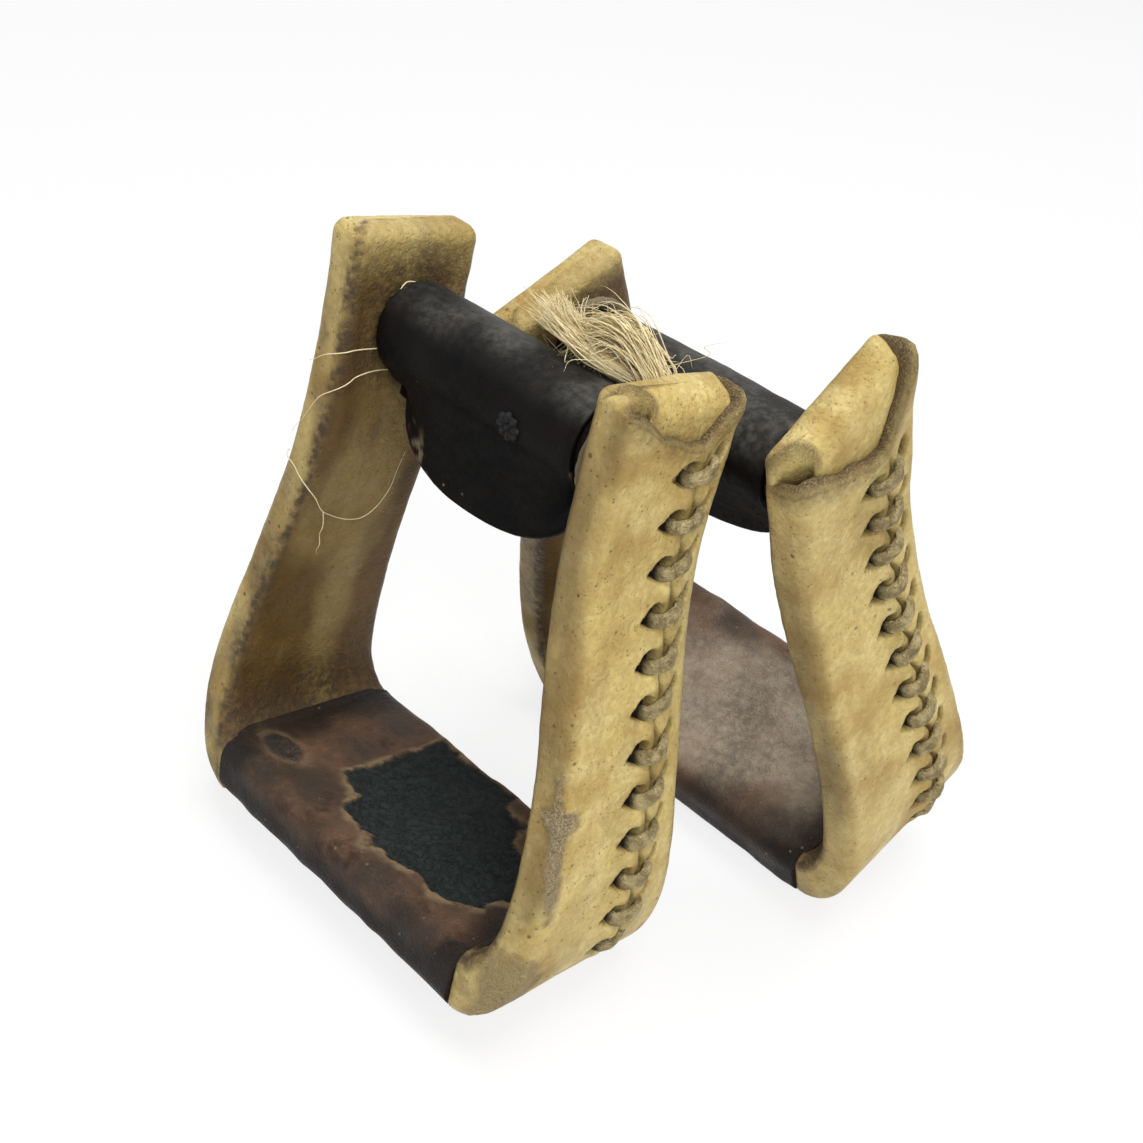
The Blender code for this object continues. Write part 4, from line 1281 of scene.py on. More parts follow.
@dataclass
class TreadWrap(Dressing):
    """The leather wrapped round a tread, turned up at the legs."""

    lumps: Lumps
    patch: tuple[tuple[float, float], ...] = ()
    oval: tuple[float, float] = (0.0, 0.0)
    # The rubbed middle: its centre in X and Y, and its reach each way
    rubbed_and_sheen: tuple[float, float, float, float] = (0.0, 0.0, 0.02, 0.02)
    rubbed_strength: float = 0.0
    half_depth: float = 0.0346
    edge_radius: float = 0.0068
    lip: float = 0.0006
    climb: float = math.radians(20)
    oval_reach: tuple[float, float] = (0.0085, 0.0052)
    # Rows of each end: share of the climb, share of the lip, and how far the rest turns in
    end_rows: tuple[tuple[float, float, float], ...] = (
        (0.25, 1.0, 0.0), (0.55, 1.0, 0.0), (0.85, 1.0, 0.0), (1.0, 0.75, 0.0004), (1.0, 0.3, 0.0012),
        (0.9, 0.1, 0.0020), (0.3, 0.1, 0.0024))
    columns: int = 200
    step: float = 0.0009

    def outline(self) -> Array:
        """Points round the tread's section in Y and Z, from the middle of the top towards the rear."""
        radius, deep, tall = self.edge_radius, self.half_depth, self.shape.tread_height / 2
        corners = []
        for number, (sy, sz) in enumerate(((1, 1), (1, -1), (-1, -1), (-1, 1))):
            for turn in np.linspace(math.pi / 2, 0, 12) - number * math.pi / 2:
                corners.append((sy * (deep - radius) + radius * math.cos(turn),
                                tall + sz * (tall - radius) + radius * math.sin(turn)))
        ring = np.array([(0.0, 2 * tall), *corners, (0.0, 2 * tall)])
        return evened(ring, self.columns)

    def turned_up(self, share: float) -> tuple[float, float]:
        """X and Z of the leather's end on the leg's inner corner, by share of its climb."""
        turn = self.climb * share
        inner_bell = self.shape.bell_half_width - self.shape.thickness
        across = (inner_bell - self.shape.base_half_width) * math.sin(turn)
        rise = (self.shape.bell_height - self.shape.tread_height) * (1 - math.cos(turn))
        return self.shape.base_half_width + across, self.shape.tread_height + rise

    def patch_depth(self, points: Array, ragged: Array) -> Array:
        """How far inside the black patch each point lies, less than 0 outside it."""
        if not self.patch:
            return np.full(points.shape[:-1], -1.0)
        corners = np.array(self.patch)
        following = np.roll(corners, -1, 0)
        turn = np.sign(np.sum(corners[:, 0] * following[:, 1] - following[:, 0] * corners[:, 1]))
        depth = np.full(points.shape[:-1], 1.0)
        for start, end in zip(corners, following):
            edge = unit(end - start)
            inward = np.array([-edge[1], edge[0]]) * turn
            depth = np.minimum(depth, (points[..., :2] - start) @ inward)
        return depth + 0.015 * (ragged - 0.5)

    def stains(self, points: Array, coarse: Array, ragged: Array, top: Array, patch: Array) -> Masks:
        """Marks of the leather besides its patch.

        Args:
            points: positions on the upright stirrup.
            coarse: wide noise at each point.
            ragged: finer noise at each point.
            top: how far each point is on the top.
            patch: how far it is on the black patch.

        Returns:
            The masks that the tread finish reads: an oval mark, its border, dark edges and the rubbed middle.
        """
        x, y, z = np.moveaxis(points, -1, 0)
        spot = np.hypot((x - self.oval[0]) / self.oval_reach[0], (y - self.oval[1]) / self.oval_reach[1])
        spot = spot + 0.8 * (ragged - 0.5)
        marked = top if self.patch else 0 * top
        oval = (1 - smooth(spot, 0.75, 0.95)) * marked
        ring_mark = bump(spot, 1.1, 0.22) * marked
        rub_x, rub_y, wide, deep = self.rubbed_and_sheen
        worn = np.hypot((x - rub_x) / wide, (y - rub_y) / deep) + 1.2 * (coarse - 0.5)
        worn = (1 - smooth(worn, 0.5, 1.2)) * top * self.rubbed_strength
        front = smooth(-y, 0.027, 0.0335) * smooth(coarse + 0.5 * ragged, 0.50, 0.95) * 0.7
        # Darker along the front edge, towards the bottom and next to the legs
        below = 1 - smooth(z + 0.006 * (ragged - 0.5), 0.005, 0.0165)
        near_leg = smooth(np.abs(x) + 0.012 * (ragged - 0.5), 0.040, 0.055)
        edge = np.clip(0.85 * front + 0.75 * below + 0.85 * near_leg, 0, 0.95) * (1 - patch)
        return {"patch": 0.6 * oval, "border": 0.45 * ring_mark, "edge": edge, "rubbed_and_sheen": worn}

    def build(self, name: str, material: Material) -> Piece:
        """Make the wrap."""
        ring = self.outline()
        end = self.shape.base_half_width - 0.0003
        middle = np.linspace(-end, end, int(2 * end / self.step))
        points = np.zeros((len(middle), self.columns, 3))
        points[..., 0] = middle[:, None]
        points[..., 1:] = ring[None]
        seed = points + np.array(self.stance.roller)
        coarse, ragged = self.lumps.layered(seed, 0.022), self.lumps.layered(seed, 0.009, 4)
        top = smooth(points[..., 2], self.shape.tread_height - 0.0045, self.shape.tread_height - 0.0005)
        inside = np.where(top > 0.2, self.patch_depth(points, ragged), -1.0)
        patch = smooth(inside, 0.0, 0.0008)
        border = smooth(inside, -0.0036, -0.0004) * (1 - patch) * smooth(coarse, 0.26, 0.50)
        found = self.stains(points, coarse, ragged, top, patch)
        deepen(found, "patch", patch)
        deepen(found, "border", border)
        sag = -0.0011 * top * (1 - (points[..., 0] / end) ** 2) * (1 - (points[..., 1] / 0.033) ** 2)
        relief = (0.0022 * (coarse - 0.5) + 0.0007 * (ragged - 0.5)
                  + 0.0030 * patch * (self.lumps.layered(seed, 0.0046) - 0.35) - 0.0005 * border)
        normal = unit(np.cross(np.gradient(points, axis=0), np.roll(points, -1, 1) - np.roll(points, 1, 1)))
        points = points - normal * relief[..., None]
        points[..., 2] += sag
        low = points[..., 2] < 0.004
        points[..., 2] = np.where(low, np.maximum(points[..., 2], 0.0), points[..., 2])
        grown, masks = self.add_ends(points, found, top)
        return self.stand(name, grown, tube_faces(*grown.shape[:2]), masks, material)

    def add_ends(self, points: Array, found: Masks, top: Array) -> tuple[Array, Masks]:
        """Close both ends: the top layer climbs the leg, and the rest turns in."""
        centre = np.array([0.0, self.shape.tread_height / 2])
        ends = []
        for sign, base, flat in ((-1, points[0], top[0]), (1, points[-1], top[-1])):
            lean = (flat * (1 - 0.9 * smooth(np.abs(base[:, 1]), 0.0235, 0.0325)))[:, None]
            extra = []
            for share, thick, inward in self.end_rows:
                across, rise = self.turned_up(share)
                ring, climbing = base.copy(), base.copy()
                ring[:, 1:] = centre + (base[:, 1:] - centre) * (1 - inward / self.shape.tread_height * 2)
                climbing[:, 0] = sign * (across - self.lip * thick * 0.9)
                climbing[:, 2] = rise + self.lip * thick * 0.5
                extra.append(ring * (1 - lean) + climbing * lean)
            ends.append(np.stack(extra[::sign]))
        count = len(self.end_rows)
        masks = {key: np.pad(values, ((count, count), (0, 0)), "edge") for key, values in found.items()}
        return np.concatenate([ends[0], points, ends[1]]), masks


@dataclass
class NeckWrap(Dressing):
    """The black leather sleeve on the roller with its hanging flap."""

    lumps: Lumps
    bore: float = 0.01165
    radius: float = 0.01345
    half_length: float = 0.0345
    bottom: float = 0.0385
    shoulder: float = 0.0146
    flap_front: float = -0.0045
    flap_rear: float = -0.0003
    leave: float = math.radians(42.0)
    left_reach: float = 0.0
    reach_rows: int = 9
    columns: int = 110
    outline_points: int = 150

    def outline(self, drop: float) -> Array:
        """Points round the sleeve and its flap in Y and Z for one depth of flap."""
        turns = np.linspace(-self.leave, math.pi + self.leave, 60)
        ring = [(self.radius * math.cos(turn), self.radius * math.sin(turn)) for turn in turns]
        joins = [(reach * math.cos(self.leave) - self.radius) / math.sin(self.leave)
                 for reach in (-self.flap_front, self.flap_rear)]
        half = (self.flap_rear - self.flap_front) / 2
        middle = self.flap_front + half
        low = -drop + half
        front = [(self.flap_front, min(joins[0], low + 0.004)), (self.flap_front, low)]
        under = [(middle - half * math.cos(turn), low - half * math.sin(turn))
                 for turn in np.linspace(0, math.pi, 9)[1:-1]]
        rear = [(self.flap_rear, low), (self.flap_rear, min(joins[1], low + 0.004))]
        raw = np.array(ring + front + under + rear + ring[:1])
        return evened(raw, self.outline_points)

    def drop(self, along: Array) -> Array:
        """How far the flap hangs below the roller's axis."""
        half = self.half_length
        skewed = np.clip((along + 0.0025 * np.cos(along / half * math.pi / 2)) / half, -1, 1)
        bow = np.sqrt(np.clip(1 - np.abs(skewed) ** 2.3, 0, 1))
        return self.shoulder + (self.bottom - self.shoulder) * bow

    def build(self, name: str, material: Material) -> Piece:
        """Make the sleeve and flap as one closed piece."""
        turns = np.linspace(-math.pi / 2, math.pi / 2, self.columns)
        along = self.half_length * np.sin(turns)
        if self.left_reach:
            far_left = -self.half_length - self.left_reach
            extra = np.linspace(far_left, -self.half_length, self.reach_rows, endpoint=False)
            along = np.concatenate([extra, along])
        outer = np.stack([np.column_stack([np.full(self.outline_points, where), self.outline(drop)])
                          for where, drop in zip(along, self.drop(along))])
        x, y, z = np.moveaxis(outer, -1, 0)
        around = np.arctan2(z, y)
        bore = np.stack([x, self.bore * np.cos(around), self.bore * np.sin(around)], -1)
        seed = outer + np.array(self.stance.roller)
        coarse, fine = self.lumps.layered(seed, 0.018), self.lumps.layered(seed, 0.005)
        distance = np.hypot(y, z)
        away = unit(outer * np.array([0, 1, 1]))
        hanging = smooth(-z, 0.014, 0.030)
        swell = 0.0011 * (coarse - 0.45) + 0.0003 * (fine - 0.5)
        to_end = np.minimum(along - along[0], along[-1] - along)
        ends = 1 - smooth(to_end, 0.0, 0.0022)[:, None]
        shaped = outer + away * (swell * (1 - hanging) - 0.0005 * ends)[..., None]
        curl = 0.0016 * hanging * np.sin(x / self.half_length * 2.2 + 0.6)
        shaped[..., 1] += curl + 0.0012 * hanging * (coarse - 0.5)
        up = smooth(z, 0.004, 0.0125) * (distance < 0.016)
        # Painted highlight: a grey sheen laid on the sleeve's top and a little on its front
        rubbed_and_sheen = np.clip(up * (0.25 + 0.8 * smooth(coarse, 0.35, 0.7))
                         + 0.10 * smooth(-y, 0.004, 0.012) * smooth(coarse, 0.45, 0.75), 0, 1)
        border = np.clip(1 - np.abs(distance - 0.03) / 0.02, 0, 1) * hanging
        nick = smooth(self.lumps.layered(seed, 0.0032), 0.66, 0.74) * border
        nick = nick * smooth(-along, 0.010, 0.030)[:, None]
        nick = np.maximum(nick, 0.8 * smooth(fine, 0.72, 0.80) * ends)
        points = np.concatenate([shaped, bore[::-1]])
        masks = {"rubbed_and_sheen": np.concatenate([rubbed_and_sheen, 0 * rubbed_and_sheen]), "nick": np.concatenate([nick, 0 * nick])}
        points = points + np.array([0, 0, self.shape.roller_height])
        rows, columns = points.shape[:2]
        faces = grid_faces(rows, columns)
        last = (rows - 1) * columns
        faces += [(last + j, last + (j + 1) % columns, (j + 1) % columns, j) for j in range(columns)]
        return self.stand(name, points, faces, masks, material)


@dataclass
class Rosette(Dressing):
    """A small flower headed stud on the sleeve's front."""

    side: float = 0.013
    below: float = math.radians(15.0)
    seat: float = 0.01350
    radius: float = 0.0041
    petals: int = 8

    def build(self, name: str, material: Material) -> Piece:
        """Make the flower: a domed eye in a ring of petals."""
        rings = np.linspace(1, 0, 22)[:-1]
        turn = np.linspace(0, 2 * math.pi, 96, endpoint=False)
        share, angle = np.meshgrid(rings, turn, indexing="ij")
        lobe = np.abs(np.cos(angle * self.petals / 2))
        reach = self.radius * share * (0.80 + 0.20 * lobe * smooth(share, 0.3, 1.0))
        petal = np.sqrt(np.clip(1 - ((share - 0.66) / 0.36) ** 2, 0, 1)) * (0.35 + 0.65 * lobe)
        eye = np.sqrt(np.clip(1 - (share / 0.30) ** 2, 0, 1))
        height = 0.0002 + 0.0010 * petal + 0.0013 * eye
        points = np.stack([reach * np.cos(angle), -(self.seat + height), reach * np.sin(angle)], -1)
        foot = points[:1].copy()
        foot[..., 1] = -self.seat + 0.0010
        points = np.concatenate([foot, points])
        tilt = np.array(Matrix.Rotation(self.below, 3, "X"))
        points = points @ tilt.T + np.array([self.side, 0, self.shape.roller_height])
        return self.stand(name, points, tube_faces(*points.shape[:2]), {}, material)


@dataclass
class Stirrup:
    """One stirrup: its covers, laces, tread, neck leather and rosette."""

    shape: StirrupShape
    stance: Stance
    seed: int
    materials: dict[str, Material]
    tread: TreadWrap
    spots: dict[str, tuple[Spot, ...]]
    crown_rises: tuple[float, float] = (0.0012, 0.0012)
    crown_tilts: tuple[float, float] = (0.0, 0.0)
    top: FoldedTop = FoldedTop()
    sleeve_reach: float = 0.0

    def dress(self) -> None:
        """Build every piece and let it ride on its body."""
        stance = self.stance
        lacing = Lacing(self.shape)
        frame_body = stance.body("stirrup")
        legs = (("left", -1, Crown.SMOOTH), ("right", 1, Crown.FOLDED))
        for number, (word, side, crown) in enumerate(legs):
            lumps = Lumps(self.seed + number)
            cover = LegCover(self.shape, stance, lacing, side, crown, lumps, self.spots.get(word, ()),
                             crown_rise=self.crown_rises[number], crown_tilt=self.crown_tilts[number],
                             top=self.top)
            piece = cover.build(stance.node(f"{word}_cover"), self.materials["rawhide"])
            settle(piece, frame_body, "rawhide", stance.node(f"rawhide_{word}"))
            strap = lacing.build(stance.node(f"{word}_lacing"), stance, side, lumps, self.materials["lace"])
            settle(strap, frame_body, "lace", stance.node(f"lace_{word}"))
        core = WoodCore(self.shape, stance).build(stance.node("wood_core"), self.materials["wood"])
        settle(core, frame_body, "wood", stance.node("wood_frame"))
        wrap = self.tread.build(stance.node("tread_wrap"), self.materials["tread_leather"])
        settle(wrap, frame_body, "tread_leather", stance.node("tread_leather"))
        neck = NeckWrap(self.shape, stance, Lumps(self.seed + 5), left_reach=self.sleeve_reach)
        neck = neck.build(stance.node("neck_wrap"), self.materials["neck_leather"])
        settle(neck, stance.body("neck_leather"), "neck_leather", stance.node("neck_leather"))
        flower = Rosette(self.shape, stance).build(stance.node("rosette"), self.materials["rivet"])
        settle(flower, stance.body("neck_leather"), "rivet", stance.node("rosette_spot"))


# The twine

@dataclass
class Twine:
    """The sisal twine round both rollers, its frayed end and the stray fibres."""

    first: Stance
    second: Stance
    shape: StirrupShape
    material: Material
    seed: int = 31
    radius: float = 0.0016
    roller_radius: float = 0.0113
    sleeve_radius: float = 0.01345
    sleeve_half: float = 0.0345
    neck_inside: float = 0.0435
    gap: float = 0.0004
    pitch: float = 0.0040
    bend: float = 0.007
    tail: float = 0.030
    lay_length: float = 0.011
    tail_fibres: int = 150
    shock_fibres: int = 340
    wild_fibres: int = 60
    fibre_sides: int = 5
    stray_radius: float = 0.00016
    # The middle of the shock, on the upright front stirrup
    spine: tuple[Point, ...] = (
        (0.0425, 0.0105, 0.1660), (0.0400, 0.0105, 0.1740), (0.0340, 0.0095, 0.1795),
        (0.0275, 0.0090, 0.1832), (0.0205, 0.0090, 0.1832), (0.0145, 0.0098, 0.1798),
        (0.0105, 0.0108, 0.1752), (0.0085, 0.0115, 0.1715))

    @staticmethod
    def around(roller: Array, along: float, degrees: float, radius: float) -> Array:
        """A point along a roller from its centre and at an angle round it, from +Y towards +Z."""
        turn = math.radians(degrees)
        return roller + np.array([along, radius * math.cos(turn), radius * math.sin(turn)])

    def route(self) -> Array:
        """The twine's centre points, from the rear roller's turn to the tail on the front sleeve."""
        roller_a, roller_b = np.array(self.first.roller), np.array(self.second.roller)
        loop = (self.roller_radius + self.radius + self.gap) / math.cos(math.radians(15))
        over = self.sleeve_radius + self.radius + 2 * self.gap
        middle = (roller_b[1] - roller_a[1]) / 2
        room = (self.neck_inside + self.sleeve_half) / 2
        near, far = room - self.pitch / 2, room + self.pitch / 2
        start = near - self.bend
        route = []
        for share, degrees in ((1.0, 66), (0.66, 62), (0.33, 58), (0.0, 54)):
            rise = max(share - 0.33, 0.0) / 0.67
            radius = over + 2 * self.radius * rise
            route.append(self.around(roller_a, start - self.tail * share, degrees, radius))
        for share, degrees in ((0.45, 51), (0.8, 42)):
            route.append(self.around(roller_a, start + self.bend * share, degrees, over))
        route.append(self.around(roller_a, near, 26, over - self.gap))
        turns = np.linspace(0.0, 1.0, 11)
        route += [self.around(roller_a, near + self.pitch * share, -300 * share, loop) for share in turns]
        lift = {"loop": loop + self.radius, "near": middle - self.radius, "close": middle - self.gap,
                "middle": middle}
        for share, degrees, level in ((0.15, -324, "loop"), (0.55, -346, "near"), (1.2, -356, "middle"),
                                      (2.4, -360, "middle")):
            route.append(self.around(roller_a, far - self.bend * share, degrees, lift[level]))
        for share, degrees, level in ((2.6, 180, "middle"), (1.2, 181, "close"), (0.45, 188, "near"),
                                      (0.0, 204, "loop")):
            route.append(self.around(roller_b, self.bend * share - near, degrees, lift[level]))
        route += [self.around(roller_b, -near - self.pitch * share, 232 + 270 * share, loop)
                  for share in turns]
        return np.array(route[::-1])

    def build_cord(self) -> Piece:
        """The twisted cord itself, as three strands laid together."""
        path = flowing(self.route(), 6)
        run = run_along(path)
        sides = 18
        rings = sweep(path, np.ones(len(path)), sides) - path[:, None]
        turn = np.linspace(0, 2 * math.pi, sides, endpoint=False)
        lay = turn[None, :] - run[:, None] * (2 * math.pi / self.lay_length)
        swell = 0.80 + 0.20 * np.abs(np.cos(1.5 * lay))
        points = path[:, None] + rings * (self.radius * swell)[..., None]
        ones = np.ones(sides)
        tail_start = run[-1] - self.tail
        # Grime and painted shade where the cord is wound round the rollers
        wound = 1 - smooth(run, tail_start - 0.006, tail_start + 0.004)
        # The cord's shade: lighter on each strand's crown, with painted shade in the grooves between strands
        masks = {"run": run[:, None] * ones, "cross": np.sin(lay) * self.radius,
                 "shade": 0.25 + 0.6 * (swell - 0.8) / 0.2, "grime": 0.85 * wound[:, None] * ones}
        cord = make_piece("twine", points, tube_faces(*points.shape[:2]), masks, self.material)
        settle(cord, self.first.body("stirrup"), "twine", "twine_tie")
        fray = self.build_fray()
        return cord

    def fibre_mesh(self, name: str, strands: list[Strand]) -> Piece:
        """Thin tapering fibres as one piece.

        Args:
            name: the piece's name.
            strands: each fibre's path, radius and shade.

        Returns:
            The fibres.
        """
        sides = self.fibre_sides
        tubes, marks = [], []
        for path, radius, shade in strands:
            taper = 1 - 0.65 * smooth(np.linspace(0, 1, len(path)), 0.55, 1.0)
            tubes.append(sweep(path, radius * taper, sides))
            run = np.repeat(run_along(path), sides)
            ones = np.ones(len(run))
            marks.append((run, ones * radius * shade, ones * shade, 0 * ones))
        masks = dict(zip(("run", "cross", "shade", "grime"), map(np.concatenate, zip(*marks))))
        return make_piece(name, *joined_tubes(tubes), masks, self.material)

    def tail_strands(self, draw: np.random.Generator) -> list[Strand]:
        """Fibres that splay out of the cord's own tail."""
        tail = flowing(self.route(), 6)
        distance = run_along(tail)
        tail = tail[distance > distance[-1] - self.tail - 0.004]
        strands = []
        for _ in range(self.tail_fibres):
            first = draw.integers(0, max(1, len(tail) // 2))
            points = tail[first:].copy()
            share = np.linspace(0, 1, len(points))[:, None]
            turn = draw.uniform(0, math.pi)
            offset = np.array([0.0, 0.0022 * math.cos(turn), 0.0006 + 0.0022 * math.sin(turn)])
            splay = draw.normal(0, 1, 3) * np.array([0.0030, 0.0026, 0.0012])
            splay = splay + np.array([-0.001, 0.0, 0.0022])
            curl = draw.uniform(0, 1) * np.array([0.0075, draw.normal(0, 0.0020), 0.0030]) * share ** 3
            wave = draw.normal(0, 0.0007, (1, 3)) * np.sin(share * draw.uniform(5, 11)) * share
            points = points + offset * draw.uniform(0.75, 1.25) + splay * share ** 2 + curl + wave
            strands.append((points, draw.uniform(0.00012, 0.00020), draw.uniform(0.35, 1.0)))
        return strands

    def shock_strands(self, draw: np.random.Generator) -> list[Strand]:
        """Fibres that arch along the spine, on the upright stirrup."""
        spine = flowing(np.array(self.spine), 4)
        strands = []
        for _ in range(self.shock_fibres):
            offset = draw.normal(0, 1, 2) * np.array([0.0024, 0.0021])
            splay = draw.normal(0, 1, 3) * np.array([0.0034, 0.0034, 0.0030])
            length = draw.uniform(0.62, 1.0)
            points = spine[:max(8, int(len(spine) * length))].copy()
            share = np.linspace(0, 1, len(points))[:, None]
            wave = draw.normal(0, 0.0008, (1, 3)) * np.sin(share * draw.uniform(4, 11) + draw.uniform(0, 6))
            points[:, 1:] += offset * (0.55 + 0.55 * share)
            points += splay * share ** 2 + wave
            strands.append((points[::2], draw.uniform(0.00012, 0.00021), draw.uniform(0.35, 1.0)))
        return strands

    def wild_strands(self, draw: np.random.Generator) -> list[Strand]:
        """Thin fibres that stick out anyhow, on the upright stirrup."""
        strands = []
        for _ in range(self.wild_fibres):
            root = draw.uniform((0.004, 0.006, 0.173), (0.038, 0.014, 0.184))
            reach = draw.normal(0, 1, 3) * np.array([0.007, 0.006, 0.004]) + np.array([0.002, 0.001, 0.001])
            bend = draw.normal(0, 0.0016, 3)
            points = np.array([root, root + 0.4 * reach + bend, root + 0.8 * reach - bend, root + reach])
            strands.append((flowing(points, 4), draw.uniform(0.00006, 0.00011), draw.uniform(0.5, 1.0)))
        return strands

    def build_fray(self) -> Piece:
        """The shock of loose fibres that arches over the twine's end."""
        draw = np.random.default_rng(self.seed)
        strands = self.tail_strands(draw)
        for path, radius, shade in self.shock_strands(draw) + self.wild_strands(draw):
            strands.append((self.first.place(path, self.shape.roller_height), radius, shade))
        return settle(self.fibre_mesh("twine_fray", strands), self.first.body("stirrup"), "twine")

    def build_strays(self, threads: tuple[tuple[tuple[float, float], ...], ...]) -> Piece:
        """Single fibres that cling to the front stirrup's left leg.

        Args:
            threads: for each fibre, its distances along the leg and round it from the seam, in millimetres.

        Returns:
            The fibres as one piece.
        """
        draw = np.random.default_rng(self.seed + 1)
        strands = []
        for thread in threads:
            route = flowing(np.array(thread) / 1000, 8)
            lift = 0.0008 + 0.0010 * np.abs(np.sin(np.linspace(0, 7, len(route))))
            points = self.shape.lifted(route[:, 0], route[:, 1], lift) * mirror(-1)
            placed = self.first.place(points, self.shape.roller_height)
            strands.append((placed, self.stray_radius, draw.uniform(0.8, 1.0)))
        return settle(self.fibre_mesh("stray_fibres", strands), self.first.body("stirrup"), "twine")


# The studio

@dataclass
class Studio:
    """Camera, lamps and floor."""

    eye: Point = (0.22549, -0.26863, 0.33691)
    azimuth: float = 0.6954
    elevation: float = 0.6778
    roll: float = 0.1512
    focal: float = 1425.9
    principal: tuple[float, float] = (600.1, 687.6)
    floor_size: float = 6.0
    floor_colour: Colour = (0.90, 0.90, 0.90)
    floor_roughness: float = 0.9
    floor_specular: float = 0.1
    world_level: float = 0.11
    backdrop_share: float = 0.80
    floor_drop: float = 0.0018
    aim: Point = (0.0, 0.0, 0.08)
    # Each lamp's name, place, size and power
    lamps: tuple[tuple[str, Point, float, float], ...] = (
        ("key_lamp", (1.55, -0.95, 1.55), 1.1, 30.0), ("fill_lamp", (-1.30, -1.25, 1.10), 1.3, 4.0),
        ("top_lamp", (0.15, 0.30, 2.2), 1.4, 46.0))

    def place_camera(self) -> None:
        """Stand the camera where the photograph was taken."""
        azimuth, elevation = self.azimuth, self.elevation
        back = Vector((math.sin(azimuth) * math.cos(elevation), -math.cos(azimuth) * math.cos(elevation),
                       math.sin(elevation)))
        right = Vector((math.cos(azimuth), math.sin(azimuth), 0.0))
        up = back.cross(right)
        turned_right = right * math.cos(self.roll) + up * math.sin(self.roll)
        turned_up = up * math.cos(self.roll) - right * math.sin(self.roll)
        data = bpy.data.cameras.new("camera")
        data.sensor_width = SENSOR_WIDTH
        data.lens = SENSOR_WIDTH * self.focal / PHOTO_SIDE
        data.shift_x = (PHOTO_SIDE / 2 - self.principal[0]) / PHOTO_SIDE
        data.shift_y = (self.principal[1] - PHOTO_SIDE / 2) / PHOTO_SIDE
        data.clip_start = 0.01
        camera = bpy.data.objects.new("camera", data)
        bpy.context.scene.collection.objects.link(camera)
        camera.matrix_world = Matrix.Translation(Vector(self.eye)) @ Matrix(
            (turned_right, turned_up, back)).transposed().to_4x4()
        bpy.context.scene.camera = camera

    def lamp(self, name: str, place: Point, size: float, power: float) -> None:
        """A soft square lamp that points at the object."""
        data = bpy.data.lights.new(name, "AREA")
        data.size = size
        data.energy = power
        lamp = bpy.data.objects.new(name, data)
        bpy.context.scene.collection.objects.link(lamp)
        lamp.location = place
        lamp.rotation_euler = (Vector(place) - Vector(self.aim)).to_track_quat("Z", "Y").to_euler()

    @staticmethod
    def seen(graph: Graph) -> Socket:
        """1 for rays from the camera and for reflected and refracted ones, 0 for the light on the object."""
        rays = graph.node("LightPath").outputs
        mirrored = graph.most(rays["Is Glossy Ray"], rays["Is Transmission Ray"])
        return graph.most(rays["Is Camera Ray"], mirrored)

    def build(self) -> None:
        """Set up the view, the light and the floor."""
        scene = bpy.context.scene
        scene.view_settings.view_transform = "Standard"
        self.place_camera()
        for lamp in self.lamps:
            self.lamp(*lamp)
        world = bpy.data.worlds.new("studio")
        world.use_nodes = True
        scene.world = world
        graph = Graph(world.node_tree)
        back = world.node_tree.nodes["Background"]
        back.inputs["Color"].default_value = (1.0, 1.0, 1.0, 1.0)
        graph.put(back.inputs["Strength"], graph.span(self.seen(graph), 0.0, 1.0, self.world_level, 1.0))
        self.floor()

    def floor(self) -> None:
        """A wide floor that looks white and still takes the object's shadow."""
        corners = np.array([(-1, -1, 0), (1, -1, 0), (1, 1, 0), (-1, 1, 0)]) * self.floor_size / 2
        material = bpy.data.materials.new("floor")
        material.use_nodes = True
        graph = Graph(material.node_tree)
        shader = material.node_tree.nodes["Principled BSDF"]
        shader.inputs["Base Color"].default_value = (*self.floor_colour, 1.0)
        shader.inputs["Roughness"].default_value = self.floor_roughness
        shader.inputs["Specular IOR Level"].default_value = self.floor_specular
        white = graph.node("Emission", {"Color": (1.0, 1.0, 1.0), "Strength": 1.0})
        share = graph.times(self.seen(graph), self.backdrop_share)
        both = graph.node("MixShader", {0: share, 1: shader.outputs[0], 2: white.outputs[0]})
        graph.put(material.node_tree.nodes["Material Output"].inputs["Surface"], both.outputs[0])
        floor = make_piece("floor", corners - np.array([0, 0, self.floor_drop]), [(0, 1, 2, 3)], {}, material)


# What this pair has of its own

# Stray fibres: distances along the left leg and round it from the seam, in millimetres
STRAY_THREADS = (
    ((165, -57), (164, -43), (156, -30)),
    ((158, -62), (158, -50), (151, -40), (133, -30)),
    ((127, -30), (124, -40), (111, -51), (106, -66), (115, -73), (130, -73)),
    ((111, -51), (101, -54), (94, -56)),
    ((170, -52), (179, -55), (183, -60), (180, -67), (175, -71)))
# Corners of the black patch on the front tread, in X and Y
PATCH_CORNERS = ((-0.0269, -0.0098), (-0.0224, 0.0285), (0.0108, 0.0317), (0.0486, -0.0040),
                 (0.0416, -0.0184), (0.0049, -0.0267))
SCUFFS = (
    Spot("scuff", 0.0735, -0.0338, 0.020, 0.0026), Spot("scuff", 0.082, -0.0328, 0.0032, 0.0064),
    Spot("scuff", 0.024, -0.0390, 0.014, 0.013, 0.40), Spot("amber", 0.026, -0.0400, 0.017, 0.014, 0.45))


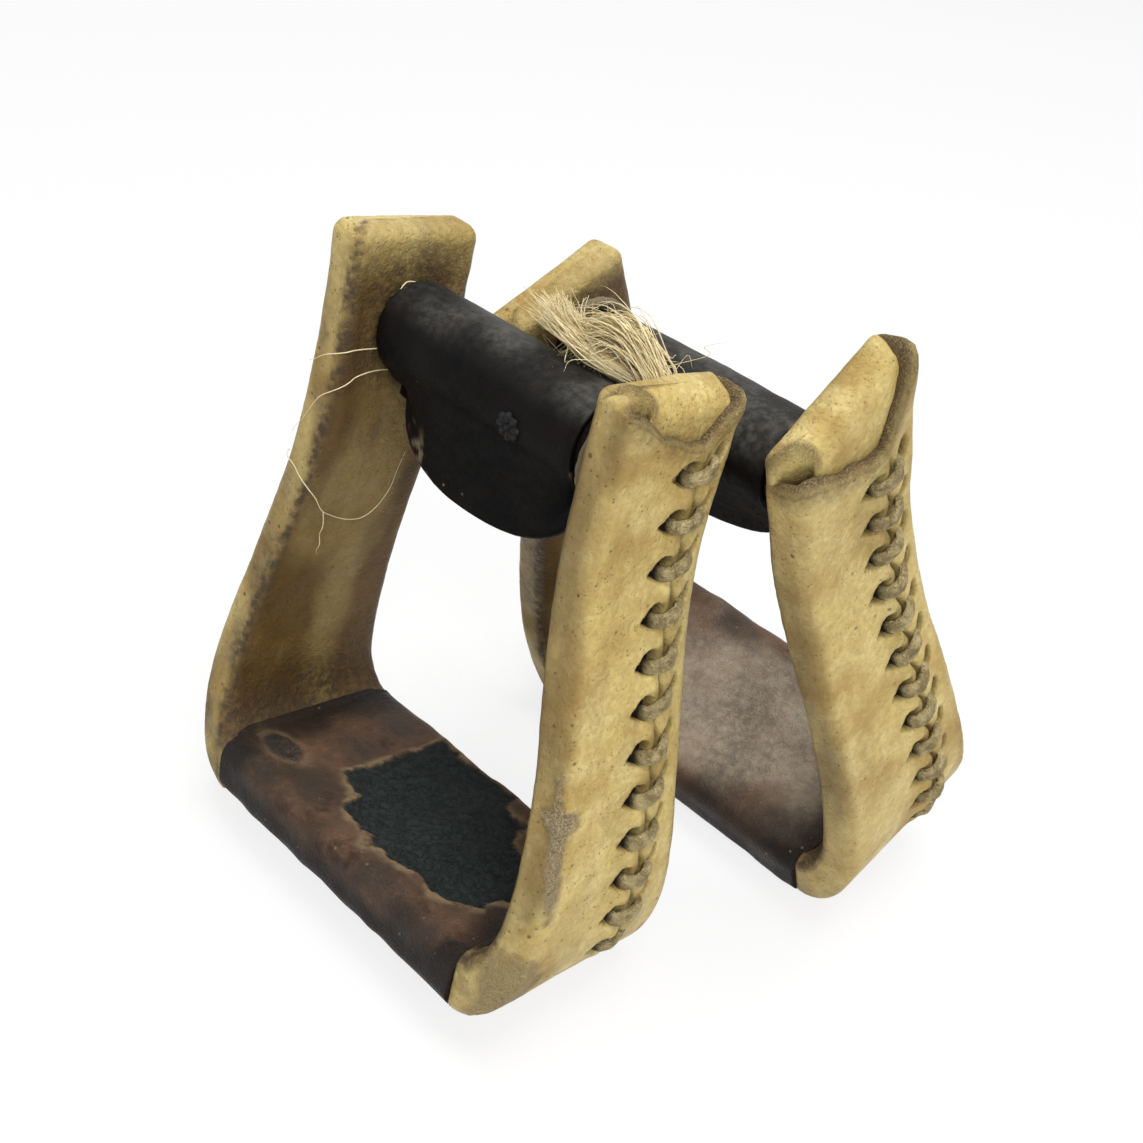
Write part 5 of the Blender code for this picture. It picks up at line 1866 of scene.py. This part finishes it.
def finishes() -> dict[str, Finish]:
    """Every finish by its slot."""
    return {
        "rawhide": RawhideFinish("stained_rawhide", bump_depth=0.0006, bump_strength=0.8, specular=0.22),
        "lace": LaceFinish("rawhide_lace", roughness=0.78, bump_depth=0.0006, bump_strength=0.9,
                           specular=0.25),
        "tread_leather": TreadFinish("worn_tread", bump_depth=0.0006, bump_strength=0.75, specular=0.16),
        "neck_leather": NeckFinish("black_leather", bump_depth=0.0004, bump_strength=0.45, specular=0.05),
        "twine": SisalFinish("sisal", roughness=0.8, bump_depth=0.0002, bump_strength=0.4, specular=0.25),
        # The wood is near black: painted shade for the roller's end in the gap beside the sleeve
        "wood": PlainFinish("wood_in_painted_shade", roughness=0.6, light=(0.016, 0.011, 0.008),
                            dark=(0.007, 0.005, 0.004), specular=0.1),
        "steel": PlainFinish("plain_steel", roughness=0.42, metallic=1.0, light=(0.34, 0.33, 0.32),
                             dark=(0.20, 0.18, 0.165), cloud_scale=120.0, grain_scale=900.0),
        "rivet": PlainFinish("blackened_rosette", roughness=0.5, specular=0.2, light=(0.010, 0.009, 0.009),
                             dark=(0.005, 0.005, 0.005), cloud_scale=300.0, grain_scale=1500.0),
    }


def stances(joints: list[dict]) -> tuple[Stance, Stance]:
    """Where both stirrups stand, from the joints at their rollers."""
    centres = {joint["name"]: tuple(joint["pos_m"]) for joint in joints}
    return (Stance("a", "front", centres["front_roller_spin"], FRONT_LEAN),
            Stance("b", "rear", centres["rear_roller_spin"], REAR_LEAN))


def main() -> None:
    """Dress the pair."""
    logging.basicConfig(level=logging.INFO, format="%(message)s")
    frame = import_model()
    Studio().build()
    effects = Effects()
    materials = {slot: finish.build(effects) for slot, finish in finishes().items()}
    slots = {part["node"]: part["material_slot"] for part in frame["record"]["subparts"]}
    for name, node in frame["nodes"].items():
        node.data.materials.clear()
        node.data.materials.append(materials[slots[name]])
    shape = StirrupShape()
    front, rear = stances(frame["joints"])
    twine = Twine(front, rear, shape, materials["twine"])
    twine.build_cord()
    twine.build_strays(STRAY_THREADS)
    front_tread = TreadWrap(shape, front, Lumps(41), patch=PATCH_CORNERS, oval=(-0.045, -0.0197))
    rear_tread = TreadWrap(shape, rear, Lumps(43), rubbed_and_sheen=(0.010, 0.000, 0.056, 0.032), rubbed_strength=1.0)
    front_top = FoldedTop(rim_start=-0.0345, front_drop=0.0022, fold=(0.0034, -0.0162, -0.0048))
    Stirrup(shape, front, 7, materials, front_tread, {"right": SCUFFS}, crown_rises=(0.0012, -0.0020),
            top=front_top, sleeve_reach=0.0067).dress()
    Stirrup(shape, rear, 17, materials, rear_tread, {}, crown_rises=(-0.0055, 0.0010),
            crown_tilts=(0.0, 0.0105)).dress()


if __name__ == "__main__":
    main()
